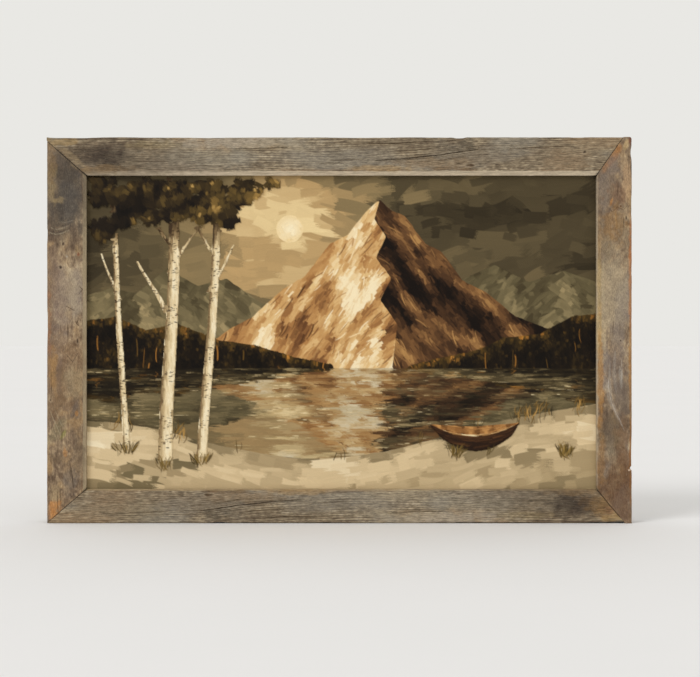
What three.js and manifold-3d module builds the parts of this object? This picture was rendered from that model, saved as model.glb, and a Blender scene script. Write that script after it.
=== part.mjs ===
// Framed canvas painting in a rustic style: a painted mountain lake on a stretched canvas, held in
// a mitred frame of weathered barn boards. Millimetres, +Z up, the picture faces -Y. The origin is
// the middle of the bottom edge, on the surface that the frame stands on.

import * as THREE from "three";
import { mergeVertices } from "three/addons/utils/BufferGeometryUtils.js";
import Module from "manifold-3d";

const wasm = await Module();
wasm.setup();

// ---------------------------------------------------------------- driving dimensions

const GAP = 0.3; // air between pieces that touch

// The frame, seen from the front: outer size, board depth, and the step that holds the canvas.
const FRAME = { width: 609, height: 402, depth: 32, lip: 6, rabbet: 7 };
// Each board's width from its outer edge to the picture's edge. Old boards are never quite alike.
const BOARD = { top: 40, right: 37, bottom: 35.5, left: 41 };
// The planed bevel along each board's inner front edge: width on the face, depth into the board.
const BEVEL = { top: [4.6, 2.2], right: [1.6, 1.2], bottom: [1.2, 1.0], left: [3.6, 1.9] };
const EASED = 0.8; // worn round on the outer front edge
// How far each mitre line ends from its corner: down the left edge, or left along the edge.
const MITRE_SLIP = { topLeft: 4, topRight: 9, bottomRight: 7.5 };
const WORN_CORNER = 3.2; // radius of the rubbed top right corner
const CHIP = { height: 58.5, tall: 5, deep: 3.2, into: 9 }; // splinter lost from the right board

const CANVAS = { thick: 0.6, play: 0.8, turnover: 27 };
const STRETCHER = { wide: 38, deep: 18, slope: 2, bevel: 2.5 };
const KEY = { long: 30, thick: 2.4, tip: 3, butt: 12, reach: 18, proud: 7, levels: [4.2, 10.6] };
const CLIP = { wide: 14, thick: 1, foot: 15, tongue: 17, setback: 7 };
const SCREW = { head: 3.4, rise: 1.8, shank: 1.6, long: 11, slot: [4.4, 0.9, 0.9] };
const HANGER = { long: 46, tall: 11, thick: 0.8, bridge: 30, lift: 2, below: 20, tooth: 3, bite: 2 };
const NAIL = { head: 1.7, rise: 0.7, shank: 0.75, long: 10 };
const BUMPER = { radius: 5, tall: 3.2, inset: 15 };
const VNAIL = { leg: 7, thick: 0.9, deep: 7, along: 0.42 };
const PAINT = { ground: 0.8, raised: 0.7, leaves: 0.6 }; // thickness of each coat, the last on top
const ROUND = 16; // sides of small round pieces

// ---------------------------------------------------------------- levels from front to back

const behind = GAP + BUMPER.tall; // what stands out behind the boards
const FRONT = -(FRAME.depth + behind) / 2;
const BACK = FRONT + FRAME.depth;
const LIP_BACK = FRONT + FRAME.lip;
const PAINT_BACK = LIP_BACK + GAP + PAINT.ground;
const CANVAS_FRONT = PAINT_BACK + GAP;
const BAR_FRONT = CANVAS_FRONT + CANVAS.thick + GAP;
const BAR_BACK = BAR_FRONT + STRETCHER.deep;
const CANVAS_BACK = BAR_BACK + GAP + CANVAS.thick;

// ---------------------------------------------------------------- rectangles in the XZ plane

const half = FRAME.width / 2;
const rect = (left, bottom, right, top) => ({ left, bottom, right, top });
const inset = (r, d) => rect(r.left + d, r.bottom + d, r.right - d, r.top - d);
const OUTER = rect(-half, 0, half, FRAME.height);
const SIGHT = rect(-half + BOARD.left, BOARD.bottom, half - BOARD.right, FRAME.height - BOARD.top);
const CLOTH = inset(SIGHT, CANVAS.play - FRAME.rabbet);
const BARS = inset(CLOTH, CANVAS.thick + GAP);
const WINDOW = inset(BARS, STRETCHER.wide);
const CENTRE = [(SIGHT.left + SIGHT.right) / 2, (SIGHT.bottom + SIGHT.top) / 2];

// The four sides, each walked anticlockwise as seen from behind: where it starts on a rectangle's
// edge, the way it runs and the way inwards.
const SIDES = {
  top: { from: (r) => [r.left, r.top], along: [1, 0], inward: [0, -1] },
  right: { from: (r) => [r.right, r.top], along: [0, -1], inward: [-1, 0] },
  bottom: { from: (r) => [r.right, r.bottom], along: [-1, 0], inward: [0, 1] },
  left: { from: (r) => [r.left, r.bottom], along: [0, 1], inward: [1, 0] },
};

// ---------------------------------------------------------------- solids

/** A closed three.js geometry as a solid that can be joined and cut. */
function solid(geometry) {
  const bare = geometry.index ? geometry.toNonIndexed() : geometry.clone();
  bare.deleteAttribute("normal");
  bare.deleteAttribute("uv");
  const merged = mergeVertices(bare, 1e-4);
  return new wasm.Manifold(
    new wasm.Mesh({
      numProp: 3,
      vertProperties: new Float32Array(merged.attributes.position.array),
      triVerts: new Uint32Array(merged.index.array),
    }),
  );
}

/** A solid back as a three.js geometry with flat faces. */
function geometryOf(body) {
  const mesh = body.getMesh();
  const geometry = new THREE.BufferGeometry();
  geometry.setAttribute("position", new THREE.BufferAttribute(mesh.vertProperties, 3));
  geometry.setIndex(new THREE.BufferAttribute(mesh.triVerts, 1));
  const flat = geometry.toNonIndexed();
  flat.computeVertexNormals();
  return flat;
}

/** The largest closed body of a solid, which drops scraps that a cut leaves. */
const largest = (body) => body.decompose().sort((a, b) => b.volume() - a.volume())[0];

/** Points as a three.js shape, turned to run anticlockwise. */
function shapeOf(points) {
  const path = points.map(([a, b]) => new THREE.Vector2(a, b));
  return new THREE.Shape(THREE.ShapeUtils.isClockWise(path) ? path.reverse() : path);
}

/** An outline in the XZ plane made into a plate from y = near to y = far. */
function plate(outline, near, far) {
  const geometry = new THREE.ExtrudeGeometry(shapeOf(outline), {
    depth: far - near,
    bevelEnabled: false,
  });
  return solid(geometry.rotateX(Math.PI / 2).translate(0, far, 0));
}

/** A section in (inward, y) swept along one side of a rectangle for its whole length. */
function sweep(section, side, box) {
  const { from, along, inward } = SIDES[side];
  const [x, z] = from(box);
  const run = Math.abs(along[0] * (box.right - box.left) + along[1] * (box.top - box.bottom));
  const geometry = new THREE.ExtrudeGeometry(shapeOf(section), { depth: run, bevelEnabled: false });
  const place = new THREE.Matrix4().makeBasis(
    new THREE.Vector3(inward[0], 0, inward[1]),
    new THREE.Vector3(0, 1, 0),
    new THREE.Vector3(along[0], 0, along[1]),
  );
  return solid(geometry.applyMatrix4(place.setPosition(x, 0, z)));
}

/** A rectangle's corners as an outline. */
const corners = (r) => [
  [r.left, r.bottom],
  [r.right, r.bottom],
  [r.right, r.top],
  [r.left, r.top],
];

/** A box from a rectangle between two depths. */
const block = (r, near, far) => plate(corners(r), near, far);

/** A saw cut through the whole depth along a line, as wide as the gap. */
function kerf([x0, z0], [x1, z1], over = 3) {
  const run = Math.hypot(x1 - x0, z1 - z0);
  const [ux, uz] = [(x1 - x0) / run, (z1 - z0) / run];
  const at = (s, t) => [x0 + ux * s - uz * t, z0 + uz * s + ux * t];
  const w = GAP / 2;
  const outline = [at(-over, -w), at(run + over, -w), at(run + over, w), at(-over, w)];
  return plate(outline, FRONT - 1, BACK + 1);
}

/** An outline grown by a distance along the normals of its corners. */
function grown(outline, by) {
  const path = shapeOf(outline).getPoints();
  return path.map((p, i) => {
    const before = path[(i + path.length - 1) % path.length];
    const after = path[(i + 1) % path.length];
    const a = p.clone().sub(before).normalize();
    const b = after.clone().sub(p).normalize();
    const normal = new THREE.Vector2(a.y + b.y, -a.x - b.x).normalize();
    const lean = Math.max(0.5, Math.abs(normal.x * a.y - normal.y * a.x));
    return [p.x + (normal.x * by) / lean, p.y + (normal.y * by) / lean];
  });
}

/** A turned piece with its axis along +Y, from a profile of (radius, y). */
function turned(profile, sides = ROUND) {
  const path = profile.map(([r, y]) => new THREE.Vector2(r, y));
  return solid(new THREE.LatheGeometry(path, sides));
}

// ---------------------------------------------------------------- the group and its nodes

const picture = new THREE.Group();

/** Adds one named piece with its finish. */
function add(name, body, { color, roughness = 0.8, metalness = 0 }) {
  const material = new THREE.MeshStandardMaterial({ color, roughness, metalness });
  const mesh = new THREE.Mesh(geometryOf(body), material);
  mesh.name = name;
  picture.add(mesh);
}

const BARN_WOOD = { color: 0x827561, roughness: 0.85 };
const PINE = { color: 0xcfae7c, roughness: 0.7 };
const BEECH = { color: 0xd9bf94, roughness: 0.6 };
const COTTON = { color: 0xd8cfbb, roughness: 0.95 };
const STEEL = { color: 0xa9a9a4, roughness: 0.35, metalness: 1 };
const BRASSED = { color: 0xb39a5c, roughness: 0.35, metalness: 1 };
const RUBBER = { color: 0x2a2927, roughness: 0.7 };
const oil = (color) => ({ color, roughness: 0.5 });

// ---------------------------------------------------------------- frame boards

const MITRES = {
  topLeft: [[OUTER.left, OUTER.top - MITRE_SLIP.topLeft], [SIGHT.left, SIGHT.top]],
  topRight: [[OUTER.right - MITRE_SLIP.topRight, OUTER.top], [SIGHT.right, SIGHT.top]],
  bottomRight: [[OUTER.right - MITRE_SLIP.bottomRight, OUTER.bottom], [SIGHT.right, SIGHT.bottom]],
  bottomLeft: [[OUTER.left, OUTER.bottom], [SIGHT.left, SIGHT.bottom]],
};

/** The rubbed top right corner as a short arc. */
function wornCorner() {
  const r = WORN_CORNER;
  return [90, 60, 30, 0].map((degrees) => {
    const turn = THREE.MathUtils.degToRad(degrees);
    return [OUTER.right - r + r * Math.cos(turn), OUTER.top - r + r * Math.sin(turn)];
  });
}

/** Each board's face between its two mitres, seen from the front. */
function boardOutlines() {
  const { topLeft: tl, topRight: tr, bottomRight: br, bottomLeft: bl } = MITRES;
  return {
    top: [tl[0], [OUTER.left, OUTER.top], tr[0], tr[1], tl[1]],
    right: [tr[0], ...wornCorner(), [OUTER.right, OUTER.bottom], br[0], br[1], tr[1]],
    bottom: [br[0], bl[0], bl[1], br[1]],
    left: [bl[0], tl[0], tl[1], bl[1]],
  };
}

/** A board's section: (distance from the outer edge, y). */
function boardSection(side) {
  const wide = BOARD[side];
  const [face, depth] = BEVEL[side];
  return [
    [0, FRONT + EASED],
    [EASED, FRONT],
    [wide - face, FRONT],
    [wide, FRONT + depth],
    [wide, LIP_BACK],
    [wide - FRAME.rabbet, LIP_BACK],
    [wide - FRAME.rabbet, BACK],
    [0, BACK],
  ];
}

/** The splinter missing from the right board's outer edge. */
function chip() {
  const [x, z] = [OUTER.right, CHIP.height];
  const outline = [[x + 1, z - CHIP.tall / 2], [x + 1, z + CHIP.tall / 2], [x - CHIP.deep, z]];
  return plate(outline, FRONT - 1, FRONT + CHIP.into);
}

/** A V nail across a mitre, seen from behind, and the slot that it is pressed into. */
function vNail([from, to], clearance = 0) {
  const at = new THREE.Vector2(...from).lerp(new THREE.Vector2(...to), VNAIL.along);
  const towards = Math.atan2(to[1] - from[1], to[0] - from[0]);
  const [leg, t] = [VNAIL.leg, VNAIL.thick / Math.SQRT2];
  const vee = [[0, 0], [-leg, leg], [-leg - t, leg - t], [-2 * t, 0], [-leg - t, t - leg], [-leg, -leg]];
  const outline = vee.map(([a, b]) => [
    at.x + a * Math.cos(towards) - b * Math.sin(towards),
    at.y + a * Math.sin(towards) + b * Math.cos(towards),
  ]);
  const grow = clearance ? grown(outline, clearance) : outline;
  return plate(grow, BACK - VNAIL.deep - clearance, BACK - 0.1 + clearance * 2);
}

// ---------------------------------------------------------------- fixings on the back

// Where each clip sits along its side, as a share of the rabbet's length.
const CLIP_PLACES = [
  ["top", 0.2], ["top", 0.8], ["right", 0.5], ["bottom", 0.2], ["bottom", 0.8], ["left", 0.5],
];

/** A steel strip stepped from the boards' back down onto the canvas's back. */
function clipSection(side) {
  const edge = BOARD[side] - FRAME.rabbet; // the rabbet's wall
  const high = BACK + GAP;
  const low = CANVAS_BACK + GAP;
  const t = CLIP.thick;
  const step = edge + CANVAS.play + 1.2;
  return [
    [edge - CLIP.foot, high], [step, high], [step, low], [step + CLIP.tongue, low],
    [step + CLIP.tongue, low + t], [step + t, low + t], [step + t, high + t], [edge - CLIP.foot, high + t],
  ];
}

/** The point on a side at a share of its length and a distance inwards. */
function pointOn(side, share, inwards) {
  const { from, along, inward } = SIDES[side];
  const [x, z] = from(OUTER);
  const run = Math.abs(along[0] * FRAME.width + along[1] * FRAME.height) * share;
  return [x + along[0] * run + inward[0] * inwards, z + along[1] * run + inward[1] * inwards];
}

/** A strip of a side, as wide as a clip, that trims the swept section to length. */
function clipTrim(side, share) {
  const { along } = SIDES[side];
  const [x, z] = pointOn(side, share, 0);
  const reach = [along[0] ? CLIP.wide / 2 : 90, along[1] ? CLIP.wide / 2 : 90];
  return block(rect(x - reach[0], z - reach[1], x + reach[0], z + reach[1]), CANVAS_BACK, BACK + 9);
}

/** A round-headed wood screw driven along -Y, its head resting at y = seat. */
function screw(seat) {
  const { head, rise, shank, long } = SCREW;
  const body = turned([
    [0, seat - long], [shank * 0.4, seat - long + 1], [shank, seat - long + 3.5], [shank, seat],
    [head, seat], [head, seat + rise * 0.45], [head * 0.62, seat + rise], [0, seat + rise],
  ]);
  const [long_, wide, deep] = SCREW.slot;
  const bar = (x, z) => block(rect(-x / 2, -z / 2, x / 2, z / 2), seat + rise - deep, seat + rise + 1);
  return body.subtract(bar(long_, wide).add(bar(wide, long_)));
}

/** A hole for a shank, bored from behind. */
const pilot = (radius, depth) =>
  turned([[0, BACK - depth - GAP], [radius + GAP, BACK - depth - GAP], [radius + GAP, BACK + 9], [0, BACK + 9]]);

/** A flat-headed nail driven along -Y, its head resting at y = seat. */
function nail(seat) {
  const { head, rise, shank, long } = NAIL;
  return turned([
    [0, seat - long], [shank, seat - long + 1.5], [shank, seat], [head, seat], [head, seat + rise], [0, seat + rise],
  ]);
}

/** The sawtooth hanger: tabs on the board, a raised bridge and teeth along its lower edge. */
function hanger() {
  const { long, bridge, thick, lift, tall, tooth, bite } = HANGER;
  const flat = BACK + GAP;
  const [tab, ramp] = [long / 2, bridge / 2];
  const strip = [
    [-tab, flat], [-ramp - lift, flat], [-ramp, flat + lift], [ramp, flat + lift], [ramp + lift, flat],
    [tab, flat], [tab, flat + thick], [ramp + lift, flat + thick], [ramp, flat + lift + thick],
    [-ramp, flat + lift + thick], [-ramp - lift, flat + thick], [-tab, flat + thick],
  ];
  const z = FRAME.height - HANGER.below;
  const geometry = new THREE.ExtrudeGeometry(shapeOf(strip), { depth: tall, bevelEnabled: false });
  let body = solid(geometry.translate(0, 0, z - tall / 2));
  const teeth = Math.floor(bridge / tooth);
  for (let i = 0; i < teeth; i++) {
    const x = (i - (teeth - 1) / 2) * tooth;
    const low = z - tall / 2;
    const notch = [[x - tooth * 0.42, low - 1], [x, low + bite], [x + tooth * 0.42, low - 1]];
    body = body.subtract(plate(notch, flat, flat + lift + thick + 1));
  }
  return body;
}

const NAIL_X = (HANGER.long / 2 + HANGER.bridge / 2 + HANGER.lift) / 2;

// ---------------------------------------------------------------- stretcher and canvas

/** A stretcher bar's section: it slopes away from the canvas behind its outer edge. */
const barSection = [
  [0, BAR_FRONT + STRETCHER.bevel / 3],
  [STRETCHER.bevel / 3, BAR_FRONT],
  [STRETCHER.bevel, BAR_FRONT],
  [STRETCHER.wide, BAR_FRONT + STRETCHER.slope],
  [STRETCHER.wide, BAR_BACK],
  [0, BAR_BACK],
];

/** The flat trapezium that a bar fills between its two mitres. */
function barOutline(side) {
  const { from, along, inward } = SIDES[side];
  const [x, z] = from(BARS);
  const run = Math.abs(along[0] * (BARS.right - BARS.left) + along[1] * (BARS.top - BARS.bottom));
  const w = STRETCHER.wide;
  const at = (s, a) => [x + along[0] * s + inward[0] * a, z + along[1] * s + inward[1] * a];
  return [at(0, 0), at(run, 0), at(run - w, w), at(w, w)];
}

const CORNERS = {
  top_left: [WINDOW.left, WINDOW.top, 1, -1],
  top_right: [WINDOW.right, WINDOW.top, -1, -1],
  bottom_right: [WINDOW.right, WINDOW.bottom, -1, 1],
  bottom_left: [WINDOW.left, WINDOW.bottom, 1, 1],
};

/** A tightening key driven into the joint at a corner of the window, or the slot cut for it. */
function key([x, z, sx, sz], flip, clearance = 0) {
  const { long, tip, butt, reach, proud, thick } = KEY;
  const inner = reach - long;
  const wedge = [[inner, proud - butt], [reach, proud - butt], [reach, proud], [inner, proud - butt + tip]];
  const outline = wedge.map(([u, v]) => (flip ? [x + sx * v, z + sz * u] : [x + sx * u, z + sz * v]));
  const near = BAR_FRONT + KEY.levels[flip ? 1 : 0];
  const path = clearance ? grown(outline, clearance) : outline;
  return plate(path, near - clearance, near + thick + clearance);
}

/** The canvas: a front, four turned sides and a flap stapled behind, folded from one cloth. */
function canvas() {
  const cloth = block(CLOTH, CANVAS_FRONT, CANVAS_BACK);
  const hollow = block(inset(CLOTH, CANVAS.thick), CANVAS_FRONT + CANVAS.thick, BAR_BACK + GAP);
  const flaps = block(inset(CLOTH, CANVAS.turnover), CANVAS_FRONT + CANVAS.thick, CANVAS_BACK + 1);
  return cloth.subtract(hollow).subtract(flaps);
}

// ---------------------------------------------------------------- the painting

// Outlines are in millimetres from the middle of the visible picture: (right, up).
const FACE = inset(CLOTH, 1);
const SHORE = -38; // the far waterline
const reachOut = 290; // past the canvas's edge on every side

const PEAK = [
  [-150, -60], [-150, -22], [-118, 2], [-92, 16], [-62, 44], [-38, 58], [-12, 92], [6, 101], [28, 128],
  [40, 138], [52, 127], [66, 121], [88, 92], [104, 84], [126, 54], [150, 42], [182, 16], [214, 4],
  [reachOut, -14], [reachOut, -60],
];
const CREST = [[40, 138], [34, 118], [46, 100], [36, 78], [52, 56], [40, 34], [58, 8], [50, -60]];
const LIT_FACE = [...PEAK.slice(0, 9), ...CREST];
const FAR_LEFT = [
  [-reachOut, -60], [-reachOut, 30], [-240, 46], [-214, 40], [-182, 66], [-150, 48], [-120, 56],
  [-84, 30], [-30, 22], [-30, -60],
];
const FAR_RIGHT = [
  [110, -60], [110, 48], [160, 70], [196, 52], [232, 64], [reachOut, 44], [reachOut, -60],
];
const WOODS_LEFT = [
  [-reachOut, -60], [-reachOut, 8], [-236, 16], [-205, 2], [-170, 8], [-130, -8], [-90, -14],
  [-50, -26], [-10, -34], [4, -60],
];
const WOODS_RIGHT = [
  [64, -60], [70, -36], [100, -28], [140, -20], [170, -6], [208, -2], [240, 16], [reachOut, 22],
  [reachOut, -60],
];
const LAKE = [[-reachOut, -reachOut], [reachOut, -reachOut], [reachOut, SHORE], [-reachOut, SHORE]];
const BANK_EDGE = [
  [-reachOut, -90], [-200, -100], [-120, -120], [-40, -132], [40, -126], [110, -108], [190, -88],
  [reachOut, -72],
];
const BANK = [[reachOut, -reachOut], [-reachOut, -reachOut], ...smooth(BANK_EDGE)];
const SUN = { at: [-54, 108], radius: 14 };
const SUN_DISC = arc(SUN.at, SUN.radius, 0, 360, 28).slice(0, -1);
const SKY = corners(rect(-reachOut, -reachOut, reachOut, reachOut));

// Birch trunks: foot, head and the width at each.
const BIRCHES = {
  near: [[-184, -134], [-178, 161], 15, 10],
  leaning: [[-146, -130], [-130, 161], 11, 7],
  slim: [[-224, -118], [-238, 161], 7, 5],
};
// Boughs: where each leaves its trunk, where it ends, and the width at each end.
const BOUGHS = {
  near: [[[-182, 20], [-212, 74], 6, 2.5], [[-180, 62], [-150, 108], 5.5, 2], [[-179, 92], [-204, 128], 5, 2]],
  leaning: [[[-139, 42], [-112, 92], 4.5, 1.8], [[-135, 84], [-158, 122], 4, 1.6]],
  slim: [[[-231, 34], [-250, 82], 3.5, 1.5]],
};
// The crown: curved rows of leaf clumps, the lower one broken at its ends, and the tip of a branch.
const CROWN = [
  { from: [-262, 148], to: [-112, 150], sag: 6, count: 8, radius: 34 },
  { from: [-252, 106], to: [-118, 118], sag: -13, count: 6, radius: 24 },
  { from: [-92, 146], to: [-72, 153], sag: 0, count: 2, radius: 17 },
];
const BOAT = { bow: [92, -96], stern: [186, -94], keel: -124, sheer: -107, thwart: -98 };

/** Points joined by a smooth curve. */
function smooth(points, steps = 6) {
  const curve = new THREE.SplineCurve(points.map(([x, y]) => new THREE.Vector2(x, y)));
  return curve.getPoints(points.length * steps).map((p) => [p.x, p.y]);
}

/** Points on an arc, from one angle to another in degrees. */
function arc([x, y], radius, from, to, steps) {
  return Array.from({ length: steps + 1 }, (_, i) => {
    const turn = THREE.MathUtils.degToRad(from + ((to - from) * i) / steps);
    return [x + radius * Math.cos(turn), y + radius * Math.sin(turn)];
  });
}

/** A curve from a to b that passes through a middle height. */
function bow(a, b, height, steps = 12) {
  const curve = new THREE.QuadraticBezierCurve(
    new THREE.Vector2(...a),
    new THREE.Vector2((a[0] + b[0]) / 2, 2 * height - (a[1] + b[1]) / 2),
    new THREE.Vector2(...b),
  );
  return curve.getPoints(steps).map((p) => [p.x, p.y]);
}

/** A tapering trunk or bough with a slight sway. */
function trunk([foot, head, wide, narrow], steps = 14) {
  const edge = (side) =>
    Array.from({ length: steps + 1 }, (_, i) => {
      const t = i / steps;
      const sway = (wide / 6) * (Math.sin(t * 5 + foot[0]) - Math.sin(foot[0]));
      const width = THREE.MathUtils.lerp(wide, narrow, t);
      const x = THREE.MathUtils.lerp(foot[0], head[0], t) + sway;
      return [x + (side * width) / 2, THREE.MathUtils.lerp(foot[1], head[1], t)];
    });
  return [...edge(-1), ...edge(1).reverse()];
}

/** One clump of leaves with a lobed edge. */
function clump([x, y], radius, lobes = 9, steps = 54) {
  return Array.from({ length: steps }, (_, i) => {
    const turn = (i / steps) * 2 * Math.PI;
    const r = radius * (0.84 + 0.1 * Math.cos(lobes * turn + x) + 0.06 * Math.cos(5 * turn - y));
    return [x + r * Math.cos(turn), y + 0.78 * r * Math.sin(turn)];
  });
}

/** The clumps of one row of the crown, each a little larger or smaller than the last. */
function clumpRow({ from, to, sag, count, radius }) {
  return Array.from({ length: count }, (_, i) => {
    const t = i / (count - 1);
    const middle = [
      THREE.MathUtils.lerp(from[0], to[0], t),
      THREE.MathUtils.lerp(from[1], to[1], t) - sag * Math.sin(Math.PI * t) + 4 * Math.sin(i * 2.4),
    ];
    return clump(middle, radius * (0.88 + 0.12 * Math.cos(i * 1.9)));
  });
}

/** Picture coordinates in the part's own plane. */
const placed = (outline) => outline.map(([x, y]) => [x + CENTRE[0], y + CENTRE[1]]);

const GROUND = [LIP_BACK + GAP, PAINT_BACK];
const RAISED = [LIP_BACK - PAINT.raised, LIP_BACK];
const LEAVES = [RAISED[0] - GAP - PAINT.leaves, RAISED[0] - GAP];

// The areas of colour laid on the ground, the nearest first. Each is cut clear of those before it.
const AREAS = [
  ["paint_bank", BANK, 0xc4a679],
  ["paint_lake", LAKE, 0x8d7c5e],
  ["paint_woods_left", WOODS_LEFT, 0x2c2014],
  ["paint_woods_right", WOODS_RIGHT, 0x35271a],
  ["paint_peak_lit", LIT_FACE, 0xcf9f62],
  ["paint_peak_shade", PEAK, 0x70502f],
  ["paint_range_left", FAR_LEFT, 0x6c5f48],
  ["paint_range_right", FAR_RIGHT, 0x74664c],
  ["paint_sun", SUN_DISC, 0xf1dcb2],
  ["paint_sky", SKY, 0xa89271],
];

/** Adds each area of colour as a skin on the canvas's front. */
function paintAreas() {
  let nearer = null;
  for (const [name, outline, colour] of AREAS) {
    const here = placed(outline);
    let body = plate(here, ...GROUND).intersect(block(FACE, ...GROUND));
    if (nearer) body = body.subtract(nearer);
    add(name, largest(body), oil(colour));
    const wider = plate(grown(here, GAP), GROUND[0] - 1, GROUND[1] + 1);
    nearer = nearer ? nearer.add(wider) : wider;
  }
}

/** Adds the birches, their leaves and the boat, laid thickly over the areas behind them. */
function paintRaised() {
  const clear = block(inset(SIGHT, 0.6), FRONT, PAINT_BACK);
  let trunks = null;
  for (const [name, birch] of Object.entries(BIRCHES)) {
    const limbs = [birch, ...BOUGHS[name]].map((limb) => placed(trunk(limb)));
    let body = limbs.map((limb) => plate(limb, ...RAISED)).reduce((a, b) => a.add(b)).intersect(clear);
    if (trunks) body = body.subtract(trunks);
    add(`paint_birch_${name}`, largest(body), oil(0xe3cfa6));
    for (const limb of limbs) {
      const wider = plate(grown(limb, GAP), RAISED[0] - 1, RAISED[1] + 1);
      trunks = trunks ? trunks.add(wider) : wider;
    }
  }
  const clumps = CROWN.flatMap(clumpRow).map((outline) => plate(placed(outline), ...LEAVES));
  add("paint_leaves", largest(clumps.reduce((a, b) => a.add(b)).intersect(clear)), oil(0x9a6a2c));
  const { bow: tip, stern, keel, sheer, thwart } = BOAT;
  const rim = bow(tip, stern, sheer);
  const hull = [...rim, ...bow([stern[0] - 8, stern[1] - 14], [tip[0] + 10, tip[1] - 12], keel)];
  const inside = [...bow(tip, stern, thwart), ...rim.reverse()];
  const hullBody = plate(placed(hull), ...RAISED);
  add("paint_boat_hull", hullBody, oil(0x3a2415));
  const cut = plate(grown(placed(hull), GAP), RAISED[0] - 1, RAISED[1] + 1);
  add("paint_boat_inside", largest(plate(placed(inside), ...RAISED).subtract(cut)), oil(0x8a5f37));
}

// ---------------------------------------------------------------- assembly

const vNails = Object.entries(MITRES).map(([corner, line]) => [corner, vNail(line), vNail(line, GAP)]);
const clipSeats = CLIP_PLACES.map(([side, share]) => {
  const middle = BOARD[side] - FRAME.rabbet - CLIP.setback;
  const [x, z] = pointOn(side, share, middle);
  return { side, share, x, z };
});

/** Everything bored or cut out of the boards. */
function boardCuts() {
  const cuts = [chip()];
  for (const [from, to] of Object.values(MITRES)) cuts.push(kerf(from, to));
  for (const [, , slot] of vNails) cuts.push(slot);
  for (const { x, z } of clipSeats) cuts.push(pilot(SCREW.shank, SCREW.long).translate([x, 0, z]));
  const z = FRAME.height - HANGER.below;
  for (const x of [-NAIL_X, NAIL_X]) cuts.push(pilot(NAIL.shank, NAIL.long).translate([x, 0, z]));
  return cuts.reduce((a, b) => a.add(b));
}

function addBoards() {
  const cuts = boardCuts();
  for (const [side, outline] of Object.entries(boardOutlines())) {
    const board = sweep(boardSection(side), side, OUTER).intersect(plate(outline, FRONT - 1, BACK + 1));
    add(`board_${side}`, largest(board.subtract(cuts)), BARN_WOOD);
  }
  for (const [corner, body] of vNails) add(`v_nail_${corner}`, body, STEEL);
}

function addStretcher() {
  const slots = [];
  for (const [name, place] of Object.entries(CORNERS)) {
    [false, true].forEach((flip, i) => {
      add(`key_${name}_${i + 1}`, key(place, flip), BEECH);
      slots.push(key(place, flip, GAP));
    });
  }
  const { left, right, top, bottom } = BARS;
  const w = STRETCHER.wide;
  const saws = [
    kerf([left, top], [left + w, top - w]), kerf([right, top], [right - w, top - w]),
    kerf([right, bottom], [right - w, bottom + w]), kerf([left, bottom], [left + w, bottom + w]),
  ];
  const cuts = [...slots, ...saws].reduce((a, b) => a.add(b));
  for (const side of Object.keys(SIDES)) {
    const bar = sweep(barSection, side, BARS).intersect(plate(barOutline(side), FRONT, BACK));
    add(`bar_${side}`, largest(bar.subtract(cuts)), PINE);
  }
  add("canvas", canvas(), COTTON);
}

function addFixings() {
  clipSeats.forEach(({ side, share, x, z }, i) => {
    const strip = sweep(clipSection(side), side, OUTER).intersect(clipTrim(side, share));
    add(`clip_${i + 1}`, strip.subtract(pilot(SCREW.shank, SCREW.long).translate([x, 0, z])), STEEL);
    add(`screw_${i + 1}`, screw(BACK + GAP + CLIP.thick + GAP).translate([x, 0, z]), STEEL);
  });
  const z = FRAME.height - HANGER.below;
  const bored = [-NAIL_X, NAIL_X].map((x) => pilot(NAIL.shank, NAIL.long).translate([x, 0, z]));
  add("hanger", hanger().subtract(bored[0].add(bored[1])), BRASSED);
  [-NAIL_X, NAIL_X].forEach((x, i) => {
    add(`hanger_nail_${i + 1}`, nail(BACK + GAP + HANGER.thick + GAP).translate([x, 0, z]), BRASSED);
  });
  const { radius, tall, inset: from } = BUMPER;
  const dome = [[0, 0], [radius, 0], [radius, tall * 0.35], [radius * 0.8, tall * 0.8], [radius * 0.45, tall], [0, tall]];
  for (const [name, x] of [["left", OUTER.left + from], ["right", OUTER.right - from]]) {
    const body = turned(dome).translate([x, BACK + GAP, OUTER.bottom + from]);
    add(`bumper_${name}`, body, RUBBER);
  }
}

addBoards();
addStretcher();
addFixings();
paintAreas();
paintRaised();

export default picture;
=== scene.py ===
"""A framed canvas painting in a rustic frame of weathered barn boards.

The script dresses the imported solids. It carves the boards, lays the paint, folds the canvas round its
stretcher and gives every fitting its finish. Objects are in metres, in the part's own frame: the picture
faces -Y and stands on z = 0. Sizes inside the classes are in millimetres and are scaled once, by MM.
"""

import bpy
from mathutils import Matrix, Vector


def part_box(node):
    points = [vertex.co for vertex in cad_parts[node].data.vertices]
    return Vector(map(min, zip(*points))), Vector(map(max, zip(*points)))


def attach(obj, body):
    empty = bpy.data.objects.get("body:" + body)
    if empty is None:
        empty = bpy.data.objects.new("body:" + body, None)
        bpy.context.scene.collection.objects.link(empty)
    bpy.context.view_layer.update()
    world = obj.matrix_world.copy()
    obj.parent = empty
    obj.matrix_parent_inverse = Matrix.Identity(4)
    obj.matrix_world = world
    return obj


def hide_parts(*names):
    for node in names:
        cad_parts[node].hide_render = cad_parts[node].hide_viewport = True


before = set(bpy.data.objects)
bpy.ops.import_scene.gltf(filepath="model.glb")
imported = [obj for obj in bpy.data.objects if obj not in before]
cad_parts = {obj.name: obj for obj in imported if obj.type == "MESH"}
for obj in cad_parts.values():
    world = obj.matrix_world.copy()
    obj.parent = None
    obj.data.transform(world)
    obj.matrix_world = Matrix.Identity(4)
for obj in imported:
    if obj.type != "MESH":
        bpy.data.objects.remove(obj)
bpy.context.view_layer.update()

import copy
import logging
import math
from dataclasses import dataclass, field, replace
from enum import Enum
from operator import itemgetter
from typing import Any

import bmesh
import bpy
import numpy as np
from mathutils import Vector
from mathutils.geometry import tessellate_polygon

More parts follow.
